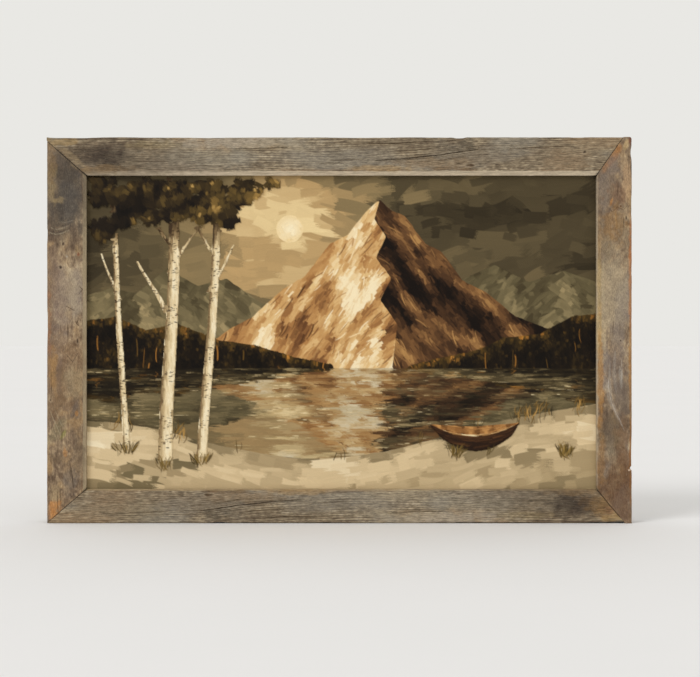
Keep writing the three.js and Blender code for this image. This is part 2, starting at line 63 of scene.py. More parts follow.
Array = np.ndarray
Material = bpy.types.Material
Pair = tuple[float, float]
Stops = tuple[tuple[float, str], ...]

MM = 0.001
LOG = logging.getLogger("framed_picture")


# ---------------- numbers and noise


def tint(code: str) -> Array:
    """A colour written as six hexadecimal digits, in linear light."""
    screen = np.array([int(code[i : i + 2], 16) for i in (0, 2, 4)]) / 255
    return np.where(screen <= 0.04045, screen / 12.92, ((screen + 0.055) / 1.055) ** 2.4)


def ease(low: float, high: float, value: Array) -> Array:
    """A smooth step from 0 at low to 1 at high."""
    t = np.clip((value - low) / (high - low), 0, 1)
    return t * t * (3 - 2 * t)


def bell(value: Array, width: float | Array) -> Array:
    """A bell curve: 1 at 0, and 0.37 one width away."""
    return np.exp(-((value / width) ** 2))


def blend(first: Array, second: Array, share: Array) -> Array:
    """Mixes two colour fields by a share for each point."""
    part = np.asarray(share)[..., None]
    return first * (1 - part) + second * part


def ramp(stops: Stops, value: Array) -> Array:
    """Looks values up on a ramp of places and colour codes."""
    places, colours = [place for place, _ in stops], np.array([tint(code) for _, code in stops])
    return np.stack([np.interp(value, places, colours[:, i]) for i in range(3)], axis=-1)


class Noise:
    """Smooth random fields that are the same on every run."""

    SIDE = 256
    SHIFT = 17.3

    def __init__(self, seed: int) -> None:
        """Draws the lattice that the fields are read from."""
        self.lattice = np.random.default_rng(seed).uniform(-1, 1, (self.SIDE, self.SIDE))

    def value(self, x: Array, y: Array) -> Array:
        """Reads one smooth field from -1 to 1.

        Args:
            x: Places across, one unit for each bump.
            y: Places up, likewise.

        Returns:
            The field at each place.
        """
        x, y = np.broadcast_arrays(np.asarray(x, float), np.asarray(y, float))
        column, row = np.floor(x).astype(int), np.floor(y).astype(int)
        u, v = x - column, y - row
        u, v = u * u * (3 - 2 * u), v * v * (3 - 2 * v)
        c0, c1 = column % self.SIDE, (column + 1) % self.SIDE
        r0, r1 = row % self.SIDE, (row + 1) % self.SIDE
        low = self.lattice[r0, c0] * (1 - u) + self.lattice[r0, c1] * u
        high = self.lattice[r1, c0] * (1 - u) + self.lattice[r1, c1] * u
        return low * (1 - v) + high * v

    def rough(self, x: Array, y: Array, octaves: int = 4) -> Array:
        """The field with finer and fainter ones added, mostly from -1 to 1."""
        turns = [(2**i, self.SHIFT * i) for i in range(octaves)]
        return sum(self.value(x * k + turn, y * k - turn) / k for k, turn in turns) / 1.5


# ---------------- shaders


class Socket:
    """A shader socket that takes part in Python expressions."""

    def __init__(self, graph: "Graph", socket: Any) -> None:
        """Wraps one output socket of a graph."""
        self.graph = graph
        self.socket = socket

    def _maths(self, operation: str, *values: Any) -> "Socket":
        """Adds a Math node whose first input may be either side of the sign."""
        return self.graph.node("ShaderNodeMath", {"operation": operation}, dict(enumerate(values)))

    def __add__(self, other: Any) -> "Socket":
        """Adds."""
        return self._maths("ADD", self, other)

    def __sub__(self, other: Any) -> "Socket":
        """Subtracts."""
        return self._maths("SUBTRACT", self, other)

    def __rsub__(self, other: Any) -> "Socket":
        """Subtracts this from a number."""
        return self._maths("SUBTRACT", other, self)

    def __mul__(self, other: Any) -> "Socket":
        """Multiplies."""
        return self._maths("MULTIPLY", self, other)

    __radd__ = __add__
    __rmul__ = __mul__

    def sine(self) -> "Socket":
        """The sine of an angle in radians."""
        return self._maths("SINE", self)

    def between(self, low: float, high: float, start: float = 0.0, end: float = 1.0) -> "Socket":
        """Maps low to start and high to end, smoothly, and holds it there."""
        sockets = {"Value": self, "From Min": low, "From Max": high, "To Min": start, "To Max": end}
        return self.graph.node("ShaderNodeMapRange", {"interpolation_type": "SMOOTHSTEP"}, sockets)

    def stretched(self, along: float, across: float, deep: float) -> "Socket":
        """Scales a vector's three axes by bumps a metre, so that noise read with it is drawn out."""
        values = {0: self, 1: (along, across, deep)}
        return self.graph.node("ShaderNodeVectorMath", {"operation": "MULTIPLY"}, values)


class Graph:
    """One material and the nodes that make its finish."""

    def __init__(self, name: str) -> None:
        """Starts a material with a bare Principled shader.

        Args:
            name: The material's name.
        """
        self.material = bpy.data.materials.new(name)
        self.material.use_nodes = True
        self.tree = self.material.node_tree
        self.shader = self.tree.nodes["Principled BSDF"]

    def _feed(self, target: Any, value: Any) -> None:
        """Links a socket or sets a number, colour or vector on an input.

        Args:
            target: The input.
            value: A Socket, a number, a tuple, or an array for a colour.
        """
        if isinstance(value, Socket):
            self.tree.links.new(value.socket, target)
        elif isinstance(value, np.ndarray):
            target.default_value = (*value, 1.0)
        else:
            target.default_value = value

    def node(
        self, kind: str, settings: dict | None = None, sockets: dict | None = None, output: int | str = 0
    ) -> Socket:
        """Adds any node.

        Args:
            kind: Blender's name for the node's type.
            settings: The node's own settings, set first. stops are a colour ramp's.
            sockets: Values or links for its inputs, by name or number.
            output: Which output to hand back.

        Returns:
            That output.
        """
        made = self.tree.nodes.new(kind)
        for key, value in (settings or {}).items():
            if key != "stops":
                setattr(made, key, value)
                continue
            elements = made.color_ramp.elements
            while len(elements) < len(value):
                elements.new(0.5)
            for element, (place, code) in zip(elements, value):
                element.position, element.color = place, (*tint(code), 1.0)
        for key, value in (sockets or {}).items():
            self._feed(made.inputs[key], value)
        return Socket(self, made.outputs[output])

    def read(self, name: str, output: str = "Color") -> Socket:
        """Reads an attribute of the mesh."""
        return self.node("ShaderNodeAttribute", {"attribute_name": name}, output=output)

    def place(self) -> Socket:
        """The place on the object, in metres."""
        return self.node("ShaderNodeTexCoord", output="Object")

    def noise(self, at: Socket, scale: float = 1.0, detail: float = 3.0, rough: float = 0.55) -> Socket:
        """Reads a noise texture, from about 0 to 1, with scale bumps for each unit of at."""
        sockets = {"Vector": at, "Scale": scale, "Detail": detail, "Roughness": rough}
        return self.node("ShaderNodeTexNoise", sockets=sockets)

    def mix(self, share: Any, first: Any, second: Any, way: str = "MIX") -> Socket:
        """Lays a share of the second colour on the first."""
        settings = {"data_type": "RGBA", "blend_type": way}
        return self.node("ShaderNodeMix", settings, {0: share, 6: first, 7: second}, 2)

    def shaded(self, shade: Socket) -> Socket:
        """The laid colour, made lighter and darker by a number."""
        grey = self.node("ShaderNodeCombineColor", sockets={0: shade, 1: shade, 2: shade})
        return self.mix(1.0, self.read("laid_colour"), grey, "MULTIPLY")

    def bump(self, height: Socket, depth_mm: float) -> Socket:
        """Raises the surface where height is 1 by depth_mm above where it is 0."""
        sockets = {"Height": height, "Distance": depth_mm * MM, "Strength": 1.0}
        return self.node("ShaderNodeBump", sockets=sockets)

    def finish(self, **inputs: Any) -> Material:
        """Sets the shader's inputs and hands the material back.

        Args:
            inputs: Values or links by the input's name, with _ for a space.

        Returns:
            The material.
        """
        for key, value in inputs.items():
            self._feed(self.shader.inputs[key.replace("_", " ")], value)
        return self.material


# ---------------- meshes


@dataclass
class Piece:
    """A mesh on its way to becoming a piece of the model."""

    name: str
    points: Array
    quads: Array
    caps: list[Array] = field(default_factory=list)
    colours: Array | None = None
    vectors: dict[str, Array] = field(default_factory=dict)
    uvs: Array | None = None

    def build(self, material: Material, slot: str, *nodes: str, sharp: float = 40) -> bpy.types.Object:
        """Makes the mesh, dresses it and ties it to the frame.

        Args:
            material: The finish.
            slot: The record's slot for it. Not used.
            nodes: The solids that it stands for.
            sharp: Edges that turn by more degrees than this stay crisp.

        Returns:
            The object.
        """
        mesh = bpy.data.meshes.new(self.name)
        mesh.vertices.add(len(self.points))
        mesh.vertices.foreach_set("co", np.ascontiguousarray(self.points, np.float32).ravel())
        sizes = [np.full(len(self.quads), self.quads.shape[1]), [len(cap) for cap in self.caps]]
        sizes = np.concatenate(sizes).astype(np.int32)
        corners = np.concatenate([self.quads.ravel(), *self.caps]).astype(np.int32)
        mesh.loops.add(len(corners))
        mesh.loops.foreach_set("vertex_index", corners)
        mesh.polygons.add(len(sizes))
        mesh.polygons.foreach_set("loop_start", (np.cumsum(sizes) - sizes).astype(np.int32))
        mesh.update(calc_edges=True)
        self._attributes(mesh)
        return installed(mesh, material, nodes, sharp)

    def _attributes(self, mesh: bpy.types.Mesh) -> None:
        """Writes the colours, vectors and the bake's UV map.

        Args:
            mesh: Where they go.
        """
        if self.colours is not None:
            rgba = np.ones((len(self.points), 4), np.float32)
            rgba[:, :3] = self.colours
            layer = mesh.attributes.new("laid_colour", "FLOAT_COLOR", "POINT")
            layer.data.foreach_set("color", rgba.ravel())
        for name, value in self.vectors.items():
            layer = mesh.attributes.new(name, "FLOAT_VECTOR", "POINT")
            layer.data.foreach_set("vector", np.ascontiguousarray(value, np.float32).ravel())
        if self.uvs is not None:
            layer = mesh.uv_layers.new(name="OFBake")
            layer.data.foreach_set("uv", np.ascontiguousarray(self.uvs, np.float32).ravel())


def installed(
    mesh: bpy.types.Mesh, material: Material, nodes: tuple[str, ...], sharp: float
) -> bpy.types.Object:
    """Makes a mesh into a piece of the model, under the mesh's own name.

    Args:
        mesh: Its shape.
        material: Its finish.
        nodes: The solids that it stands for.
        sharp: Edges that turn by more degrees than this stay crisp.

    Returns:
        The object.
    """
    mesh.shade_smooth()
    mesh.set_sharp_from_angle(angle=math.radians(sharp))
    mesh.materials.append(material)
    made = bpy.data.objects.new(mesh.name, mesh)
    bpy.context.scene.collection.objects.link(made)
    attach(made, "root")
    if nodes:
        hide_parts(*nodes)
    LOG.info("%s: %d faces", made.name, len(mesh.polygons))
    return made


def softened(node: str, ending: str, material: Material, width: float) -> bpy.types.Object:
    """Copies a solid with its edges softened and lets the copy stand for it.

    Args:
        node: The solid.
        ending: What the copy's name ends with.
        material: Its finish.
        width: How far the softening reaches on each side of an edge, in millimetres.

    Returns:
        The copy.
    """
    shape = bmesh.new()
    shape.from_mesh(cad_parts[node].data)
    bmesh.ops.remove_doubles(shape, verts=shape.verts, dist=1e-6)
    bmesh.ops.dissolve_limit(shape, angle_limit=math.radians(1), verts=shape.verts, edges=shape.edges)
    hard = [edge for edge in shape.edges if edge.calc_face_angle(0) > math.radians(28)]
    settings = {"segments": 2, "profile": 0.5, "affect": "EDGES", "clamp_overlap": True}
    bmesh.ops.bevel(shape, geom=hard, offset=width * MM, **settings)
    bmesh.ops.triangulate(shape, faces=[face for face in shape.faces if len(face.verts) > 4])
    mesh = bpy.data.meshes.new(f"{node}_{ending}")
    shape.to_mesh(mesh)
    shape.free()
    return installed(mesh, material, (node,), sharp=34)


def grid_quads(rows: int, columns: int, closed: bool = False) -> Array:
    """Numbers the corners of a grid's quads.

    Args:
        rows: Rows of points.
        columns: Points in a row.
        closed: Whether the last row joins the first.

    Returns:
        Four point numbers a quad.
    """
    r, c = np.meshgrid(np.arange(rows if closed else rows - 1), np.arange(columns - 1), indexing="ij")
    low, high = r * columns + c, (r + 1) % rows * columns + c
    return np.stack([low, high, high + 1, low + 1], -1).reshape(-1, 4)


# ---------------- the frame's own measures


class Side(Enum):
    """The four sides: where each starts, the way it runs and the way inwards, seen from the front."""

    TOP = ("top", (0, 1), (1, 0), (0, -1))
    RIGHT = ("right", (1, 1), (0, -1), (-1, 0))
    BOTTOM = ("bottom", (1, 0), (-1, 0), (0, 1))
    LEFT = ("left", (0, 0), (0, 1), (1, 0))

    @property
    def word(self) -> str:
        """The side's name in the names of nodes."""
        return self.value[0]

    @property
    def level(self) -> bool:
        """Whether the side runs level."""
        return self.value[2][0] != 0


@dataclass(frozen=True)
class Layout:
    """Sizes that the frame's pieces share, in millimetres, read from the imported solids."""

    lip: float = 6.0
    rabbet: float = 7.0

    def span(self, node: str, axis: int) -> Pair:
        """A solid's lowest and highest coordinate along axis 0, 1 or 2."""
        low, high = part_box(node)
        return low[axis] / MM, high[axis] / MM

    @property
    def outer(self) -> tuple[Pair, Pair]:
        """The frame's outer rectangle: its reach in x and z."""
        return (self.span("board_left", 0)[0], self.span("board_right", 0)[1]), self.span("board_right", 2)

    @property
    def depth(self) -> Pair:
        """The boards' front and back."""
        return self.span("board_top", 1)

    def width(self, side: Side) -> float:
        """How wide a board is on its face."""
        low, high = self.span(f"board_{side.word}", 2 if side.level else 0)
        return high - low

    @property
    def sight(self) -> tuple[Pair, Pair]:
        """The opening that shows the picture: its reach in x and z.

        Returns:
            The lowest and highest x, and the lowest and highest z.
        """
        (x0, x1), (z0, z1) = self.outer
        wide = {side: self.width(side) for side in Side}
        return (x0 + wide[Side.LEFT], x1 - wide[Side.RIGHT]), (z0 + wide[Side.BOTTOM], z1 - wide[Side.TOP])


LAYOUT = Layout()

# How each mitre line starts at a board's two ends: how far along the outer edge, or how far inward.
MITRES: dict[Side, tuple[Pair, Pair]] = {
    Side.TOP: ((0, 4), (9, 0)),
    Side.RIGHT: ((0, 9), (0, 7.5)),
    Side.BOTTOM: ((7.5, 0), (0, 0)),
    Side.LEFT: ((0, 0), (4, 0)),
}


# ---------------- marks on the boards

# A place on a board is (along, inward) in millimetres: along the board from its first corner, which
# is the left one on top and then clockwise, and inward from its outer edge.


@dataclass
class Skin:
    """A board's surface: where each point lies, how far it is carved and how it is coloured."""

    along: Array
    inward: Array
    depth: Array
    near: Array
    noise: Noise
    fine: Noise
    height: Array = field(init=False)
    colour: Array = field(init=False)
    across: Array = field(init=False)
    strands: Array = field(init=False)
    specks: Array = field(init=False)

    def __post_init__(self) -> None:
        """Works out the grit that every mark is broken by and how marks fade down the edges."""
        self.grit = self.fine.rough(self.along / 3.2 + 40, self.inward / 2.6, 4)
        self.front = bell(self.depth, 7)

    def lay(self, colour: str | Array, share: Array) -> None:
        """Lays a colour over the skin's own, as strongly as share says."""
        self.colour = blend(self.colour, tint(colour) if isinstance(colour, str) else colour, share)

    def carve(self, depth: float | Array, share: float | Array = 1.0) -> None:
        """Sinks the skin by a depth in millimetres, as fully as share says."""
        self.height = self.height - depth * share


class Mark:
    """Something that has befallen a board. Each kind overrides what it changes."""

    def swung(self, along: Array, inward: Array) -> float | Array:
        """How far the grain swings aside, in millimetres."""
        return 0.0

    def worn(self, along: Array, depth: Array) -> float | Array:
        """How far the outer edge has worn back, in millimetres."""
        return 0.0

    def strike(self, skin: Skin, number: int) -> None:
        """Carves and colours the skin. The number gives each mark an edge of its own."""


@dataclass(frozen=True)
class Blot(Mark):
    """A stain or bare patch with a ragged edge."""

    along: float
    inward: float
    long: float
    wide: float
    colour: str
    strength: float = 0.7
    ragged: float = 0.45
    turn: float = 0.0

    def strike(self, skin: Skin, number: int) -> None:
        """Stains the skin.

        Args:
            skin: What is stained.
            number: The mark's number.
        """
        c, s = math.cos(math.radians(self.turn)), math.sin(math.radians(self.turn))
        along, inward = skin.along - self.along, skin.inward - self.inward
        u, v = (along * c + inward * s) / self.long, (inward * c - along * s) / self.wide
        edge = skin.noise.rough(skin.along / 7 + 13 * number, skin.inward / 5 - 7 * number, 4)
        reach = np.sqrt(u**2 + v**2) + self.ragged * (edge + 0.35 * skin.grit)
        share = self.strength * ease(1.25, 0.45, reach) * skin.front
        skin.lay(tint(self.colour) * (1 + 0.18 * skin.grit)[..., None], share)


@dataclass(frozen=True)
class Split(Mark):
    """A drying crack, scratch or line of growth along a path of places."""

    path: tuple[float, ...]
    width: float = 0.9
    depth: float = 1.0
    colour: str = "4a3a2a"
    strength: float = 0.85

    def strike(self, skin: Skin, number: int) -> None:
        """Opens the line, widest in its middle.

        Args:
            skin: What is cut.
            number: The mark's number, which a line doesn't need.
        """
        places, offs = np.array(self.path).reshape(-1, 2).T
        place, off = skin.along, skin.inward
        if abs(places[-1] - places[0]) < abs(offs[-1] - offs[0]):
            places, offs, place, off = offs, places, off, place
        order = np.argsort(places)
        off = off - np.interp(place, places[order], offs[order])
        off = off + 0.35 * skin.fine.rough(place / 3.5, 5.5 + 0 * place, 2)
        low, high = places.min(), places.max()
        reach = ((place - low) / (high - low)).clip(0, 1)
        wide = self.width * (np.sin(np.pi * reach) ** 0.5 + 0.02)
        wide = wide * (1 + 0.4 * skin.noise.value(place / 4, 1.5 + 0 * place))
        inside = ease(1.0, 0.25, np.abs(off) / wide) * ((place > low) & (place < high)) * skin.front
        skin.carve(self.depth, inside)
        skin.lay(self.colour, self.strength * inside)


@dataclass(frozen=True)
class Pit(Mark):
    """A small hole or knot with a lighter rim."""

    along: float
    inward: float
    long: float
    wide: float
    depth: float = 0.5
    colour: str = "4b3d30"

    RIM = "a3927a"
    DEEP = 0.45

    def swung(self, along: Array, inward: Array) -> float | Array:
        """The grain parts round a deep pit.

        Args:
            along: Places along the board.
            inward: Places across it.

        Returns:
            How far it swings, in millimetres.
        """
        if self.depth <= self.DEEP:
            return 0.0
        s, a = (along - self.along) / (4 * self.long), (inward - self.inward) / (4 * self.wide)
        return (inward - self.inward) * 0.5 * np.exp(-(s**2) - a**2)

    def strike(self, skin: Skin, number: int) -> None:
        """Sinks the pit and bleaches its rim.

        Args:
            skin: What is pitted.
            number: The mark's number, which a pit doesn't need.
        """
        u, v = (skin.along - self.along) / self.long, (skin.inward - self.inward) / self.wide
        reach = np.sqrt(u**2 + v**2) + 0.3 * skin.grit
        inside = ease(1.0, 0.5, reach) * skin.front
        rim = ease(1.9, 1.3, reach) * (1 - ease(1.3, 0.9, reach)) * skin.front
        skin.carve(self.depth, inside)
        skin.lay(self.colour, 0.85 * inside)
        skin.lay(self.RIM, 0.35 * rim)


@dataclass(frozen=True)
class Nick(Mark):
    """A dip worn into the outer edge. One deeper than 2 mm is a chip, which ends part way back."""

    along: float
    long: float
    depth: float

    def worn(self, along: Array, depth: Array) -> float | Array:
        """The dip's depth at each place."""
        dip = self.depth * np.exp(-(((along - self.along) / (0.5 * self.long)) ** 4))
        return dip * (ease(9.5, 8.5, depth) if self.depth > 2 else 1)


Marks = tuple[Mark, ...]


@dataclass(frozen=True)
class Timber:
    """How one pair of boards grew and weathered."""

    seed: int
    stops: Stops
    cool: str
    warm: str
    pith: Pair = (-34.0, 66.0)
    ring: float = 1.9
    ring_depth: float = 0.26
    ring_stain: float = 0.42
    fibre: float = 0.42
    strand: float = 15.0
    cloud: float = 0.3
    stretch: float = 5.0
    swirl: float = 0.0
    mottle: float = 0.16
    checks: int = 60


@dataclass(frozen=True)
class Wear:
    """Everything that has happened to one board, with its bevel's colour and painted highlight."""

    marks: Marks
    drift: tuple[Pair, ...]
    bevel: Pair
    # The planed bevel's colour, made paler on the top board as a painted highlight.
    bevel_wood_and_highlight: str
    bleached: float = 0.14


STRAIGHT_GRAIN = Timber(
    seed=11, cool="8b8477", warm="8d7355", ring=1.55, ring_stain=0.62, cloud=0.25, mottle=0.46, strand=19.0,
    stops=((-1, "43362a"), (-0.4, "685948"), (0, "84755f"), (0.45, "a5957b"), (1, "d0c1a8")),
)
BLOTCHED = Timber(
    seed=29, cool="857b74", warm="9b7a4f", pith=(-90.0, 34.0), ring=3.1, ring_depth=0.08, ring_stain=0.12,
    fibre=0.15, strand=3.2, cloud=0.66, stretch=1.2, swirl=16.0, mottle=0.4, checks=16,
    stops=((-1, "453729"), (-0.4, "695543"), (0, "86715a"), (0.45, "a68f71"), (1, "cdb896")),
)

# The long boards were sawn from one plank, so the marks along them agree.
PLANK_MARKS: Marks = (
    Blot(66, 22, 84, 26, "5c4c3c", 0.55, 0.25), Blot(60, 19, 36, 14, "463b31", 0.7, 0.4),
    Blot(66, 20, 22, 9, "3d332b", 0.6), Blot(205, 5, 72, 8, "b2a999", 0.5, 0.5),
    Blot(145, 30, 36, 8, "76685a", 0.35), Blot(36, 13, 16, 4, "4f4436", 0.35, 0.8),
    Blot(28, 22, 27, 3.4, "9c8767", 0.42, 0.4, turn=41), Blot(112, 8, 30, 5, "9c8a66", 0.4),
    Blot(170, 22, 50, 12, "8f8879", 0.35), Blot(262, 20, 36, 10, "857c6e", 0.35),
    Blot(300, 16, 10, 9, "6d6252", 0.35), Blot(330, 9, 26, 4, "5f4f3a", 0.4, 0.7),
    Blot(345, 33, 40, 3.5, "a28356", 0.5), Blot(400, 27, 46, 6, "8f7350", 0.45),
    Blot(420, 33, 26, 2.6, "6f5434", 0.5), Blot(432, 9, 14, 7, "4f483d", 0.5, 0.8),
    Blot(448, 22, 40, 12, "6d5d4a", 0.4), Blot(540, 20, 60, 16, "7d6d58", 0.35, 0.5),
    Blot(558, 12, 30, 8, "8f8068", 0.3),
    Split((341, 24.8, 372, 22.6, 409, 19, 430, 15.5, 450, 12.8), 0.8, 1.2, "44352a", 0.75),
    Split((356, 25.4, 384, 23.2, 412, 20.6, 436, 16.9), 0.5, 0.4, "55442f", 0.6),
    Split((366, 21.2, 398, 17.6, 424, 13.9, 452, 10.8), 0.5, 0.4, "55442f", 0.6),
    Split((384, 26.6, 414, 24, 440, 19.6, 468, 17.2), 0.5, 0.4, "5a4833", 0.55),
    Split((402, 15.2, 428, 11.6, 462, 9.4, 500, 8.6), 0.5, 0.4, "5a4833", 0.55),
    Split((424, 17, 446, 13.6, 470, 12.6), 0.5, 0.5, "55442f", 0.6),
    Split((196, 12.5, 226, 12, 254, 10.4), 0.7, 0.8, "5a4936"),
    Split((330, 6.4, 362, 6.8, 398, 4.6), 0.7, 0.8, "55432f"),
    Split((480, 12.4, 520, 10.6, 552, 9.6), 0.6, 0.6, "5d4c38"),
    Split((360, 15.2, 392, 13, 418, 9.6), 0.5, 0.6, "5d4c38"), Pit(441, 29.5, 5.5, 1.4, 0.5, "4a3725"),
    Blot(118, 22, 56, 15, "7b6f5c", 0.4, 0.6), Blot(236, 8, 44, 7, "9a8c73", 0.4, 0.6),
    Blot(378, 18, 60, 11, "6f604c", 0.3, 0.6), Nick(24, 40, 0.7), Nick(160, 110, 0.45),
    Nick(429, 12, 0.9), Nick(330, 60, 0.35), Blot(60, 34, 30, 5, "8a6d47", 0.36, 0.6),
    Blot(16, 5, 20, 5, "a0824f", 0.45, 0.5),
)
PLANK_DRIFT = ((0, 0), (120, 1.5), (300, 4), (341, 6), (409, 11.8), (450, 18), (520, 21), (609, 23))
TOP_MARKS: Marks = (*PLANK_MARKS, Pit(559.5, 15.6, 1.6, 1.6, 0.6, "3f3226"))
BOTTOM_MARKS: Marks = (
    *PLANK_MARKS,
    Blot(26, 17, 17, 14, "9b7a4e", 0.6, 0.5), Blot(24, 16, 8, 6, "7a5340", 0.5, 0.7),
    Blot(10, 8, 10, 5, "a98a5c", 0.5), Split((8.3, -0.6, 9.3, 7.5), 1.3, 1.2, "2c2018"), Nick(6, 34, 0.9),
    Blot(232, 31, 44, 7, "a4977f", 0.45, 0.5), Blot(30, 24, 22, 13, "674f33", 0.5, 0.6),
    Blot(512, 12, 26, 14, "94866c", 0.35, 0.5),
)
LEFT_MARKS: Marks = (
    Blot(346, 20, 58, 30, "554b40", 0.7, 0.2), Blot(343, 22, 40, 15, "4b4743", 0.7, 0.35),
    Blot(320, 8, 26, 10, "4d443b", 0.6, 0.5), Blot(374, 20, 22, 20, "4f4438", 0.5, 0.5),
    Blot(230, 4, 70, 8, "725b48", 0.45, 0.5), Blot(150, 7, 44, 12, "745a42", 0.45, 0.5),
    Blot(245, 26, 36, 13, "b3a185", 0.5, 0.5), Blot(70, 34, 26, 7, "6b5a47", 0.5, 0.5),
    Blot(160, 20, 52, 24, "87694a", 0.4, 0.4), Blot(350, 5, 20, 5, "9a8560", 0.5, 0.8),
    Blot(336, 11, 3, 8, "a28c66", 0.45, 0.9), Blot(309, 34, 7, 3, "4f463f", 0.6, 0.8),
    Blot(282, 34, 8, 4, "a58a63", 0.45, 0.8), Blot(280, 33, 2, 1.4, "7c3f28"),
    Blot(230, 14, 40, 10, "8c7b6f", 0.45), Blot(265, 8, 26, 7, "84705f", 0.4),
    Blot(205, 2, 36, 3, "96694a", 0.5, 0.8), Blot(160, 7, 22, 5, "a98250", 0.6, 0.6),
    Blot(152, 13, 20, 3, "6d5a50", 0.45), Blot(146, 28, 20, 11, "948468", 0.5, 0.35),
    Blot(118, 31, 10, 5, "665c54", 0.5, 0.7), Blot(114, 31, 3, 2, "a9773d", 0.6, 0.8),
    Blot(95, 10, 20, 6, "8d8263", 0.45, turn=35), Blot(92, 17, 6, 2, "97944f", 0.5, turn=30),
    Blot(74, 19, 5, 3, "b98650", 0.6, 0.8), Blot(66, 12, 6, 9, "6d5a45", 0.5, 0.9),
    Blot(45, 24, 16, 8, "6f675f", 0.45), Blot(28, 8, 16, 6, "a08a68", 0.5),
    Blot(12, 7, 12, 7.5, "bd8248", 0.75, 0.6),
    Split((303, 1, 300.5, 9, 302, 16, 305, 24), 0.6, 0.15, "b3a58a", 0.6),
    Split((305, 1, 302.5, 9, 304, 16, 307, 25), 0.5, 0.3, "4d4138", 0.7),
    Split((308, 3, 305.5, 10, 307.5, 17, 310, 24), 0.6, 0.15, "a89b84", 0.55),
    Split((311, 8, 309, 14, 311, 22, 313, 27), 0.5, 0.3, "494039", 0.7),
    Split((314, 14, 313, 20, 315.5, 28), 0.5, 0.1, "9a8f7d", 0.5),
    Split((118, 3, 104, 9, 90, 15), 0.7, 0.15, "a69b80", 0.5),
    Split((110, 3, 96, 8, 84, 13), 0.7, 0.2, "5f5245", 0.5),
    Split((124, 6, 110, 12, 97, 18), 0.6, 0.15, "a3977d", 0.45),
    Split((247, 34, 243, 37, 238, 33), 0.6, 0.5), Split((226, 20, 223, 26, 221, 30), 0.5, 0.5),
    Split((212, 33, 208, 31, 205, 34), 0.7, 0.5), Split((176, 20, 168, 27, 178, 33), 0.8, 0.5, "6a5849"),
    Split((60, 25, 46, 27, 36, 28), 0.8, 0.7, "54463a"), Pit(290.5, 17, 2.2, 1.3, 0.8, "4a3d36"),
    Pit(277.5, 21, 1.6, 1.2, 0.5, "b5ab9c"), Pit(266.5, 14.5, 2.4, 1.6, 0.9, "40362f"),
    Pit(190, 32, 2.6, 1, 0.5), Pit(128, 4, 1.4, 1.4, 0.5), Nick(208, 30, 0.5), Nick(300, 14, 0.4),
    Blot(380, 4, 24, 6, "8a6d45", 0.36, 0.6), Blot(135, 12, 30, 10, "7d6549", 0.35, 0.6),
)
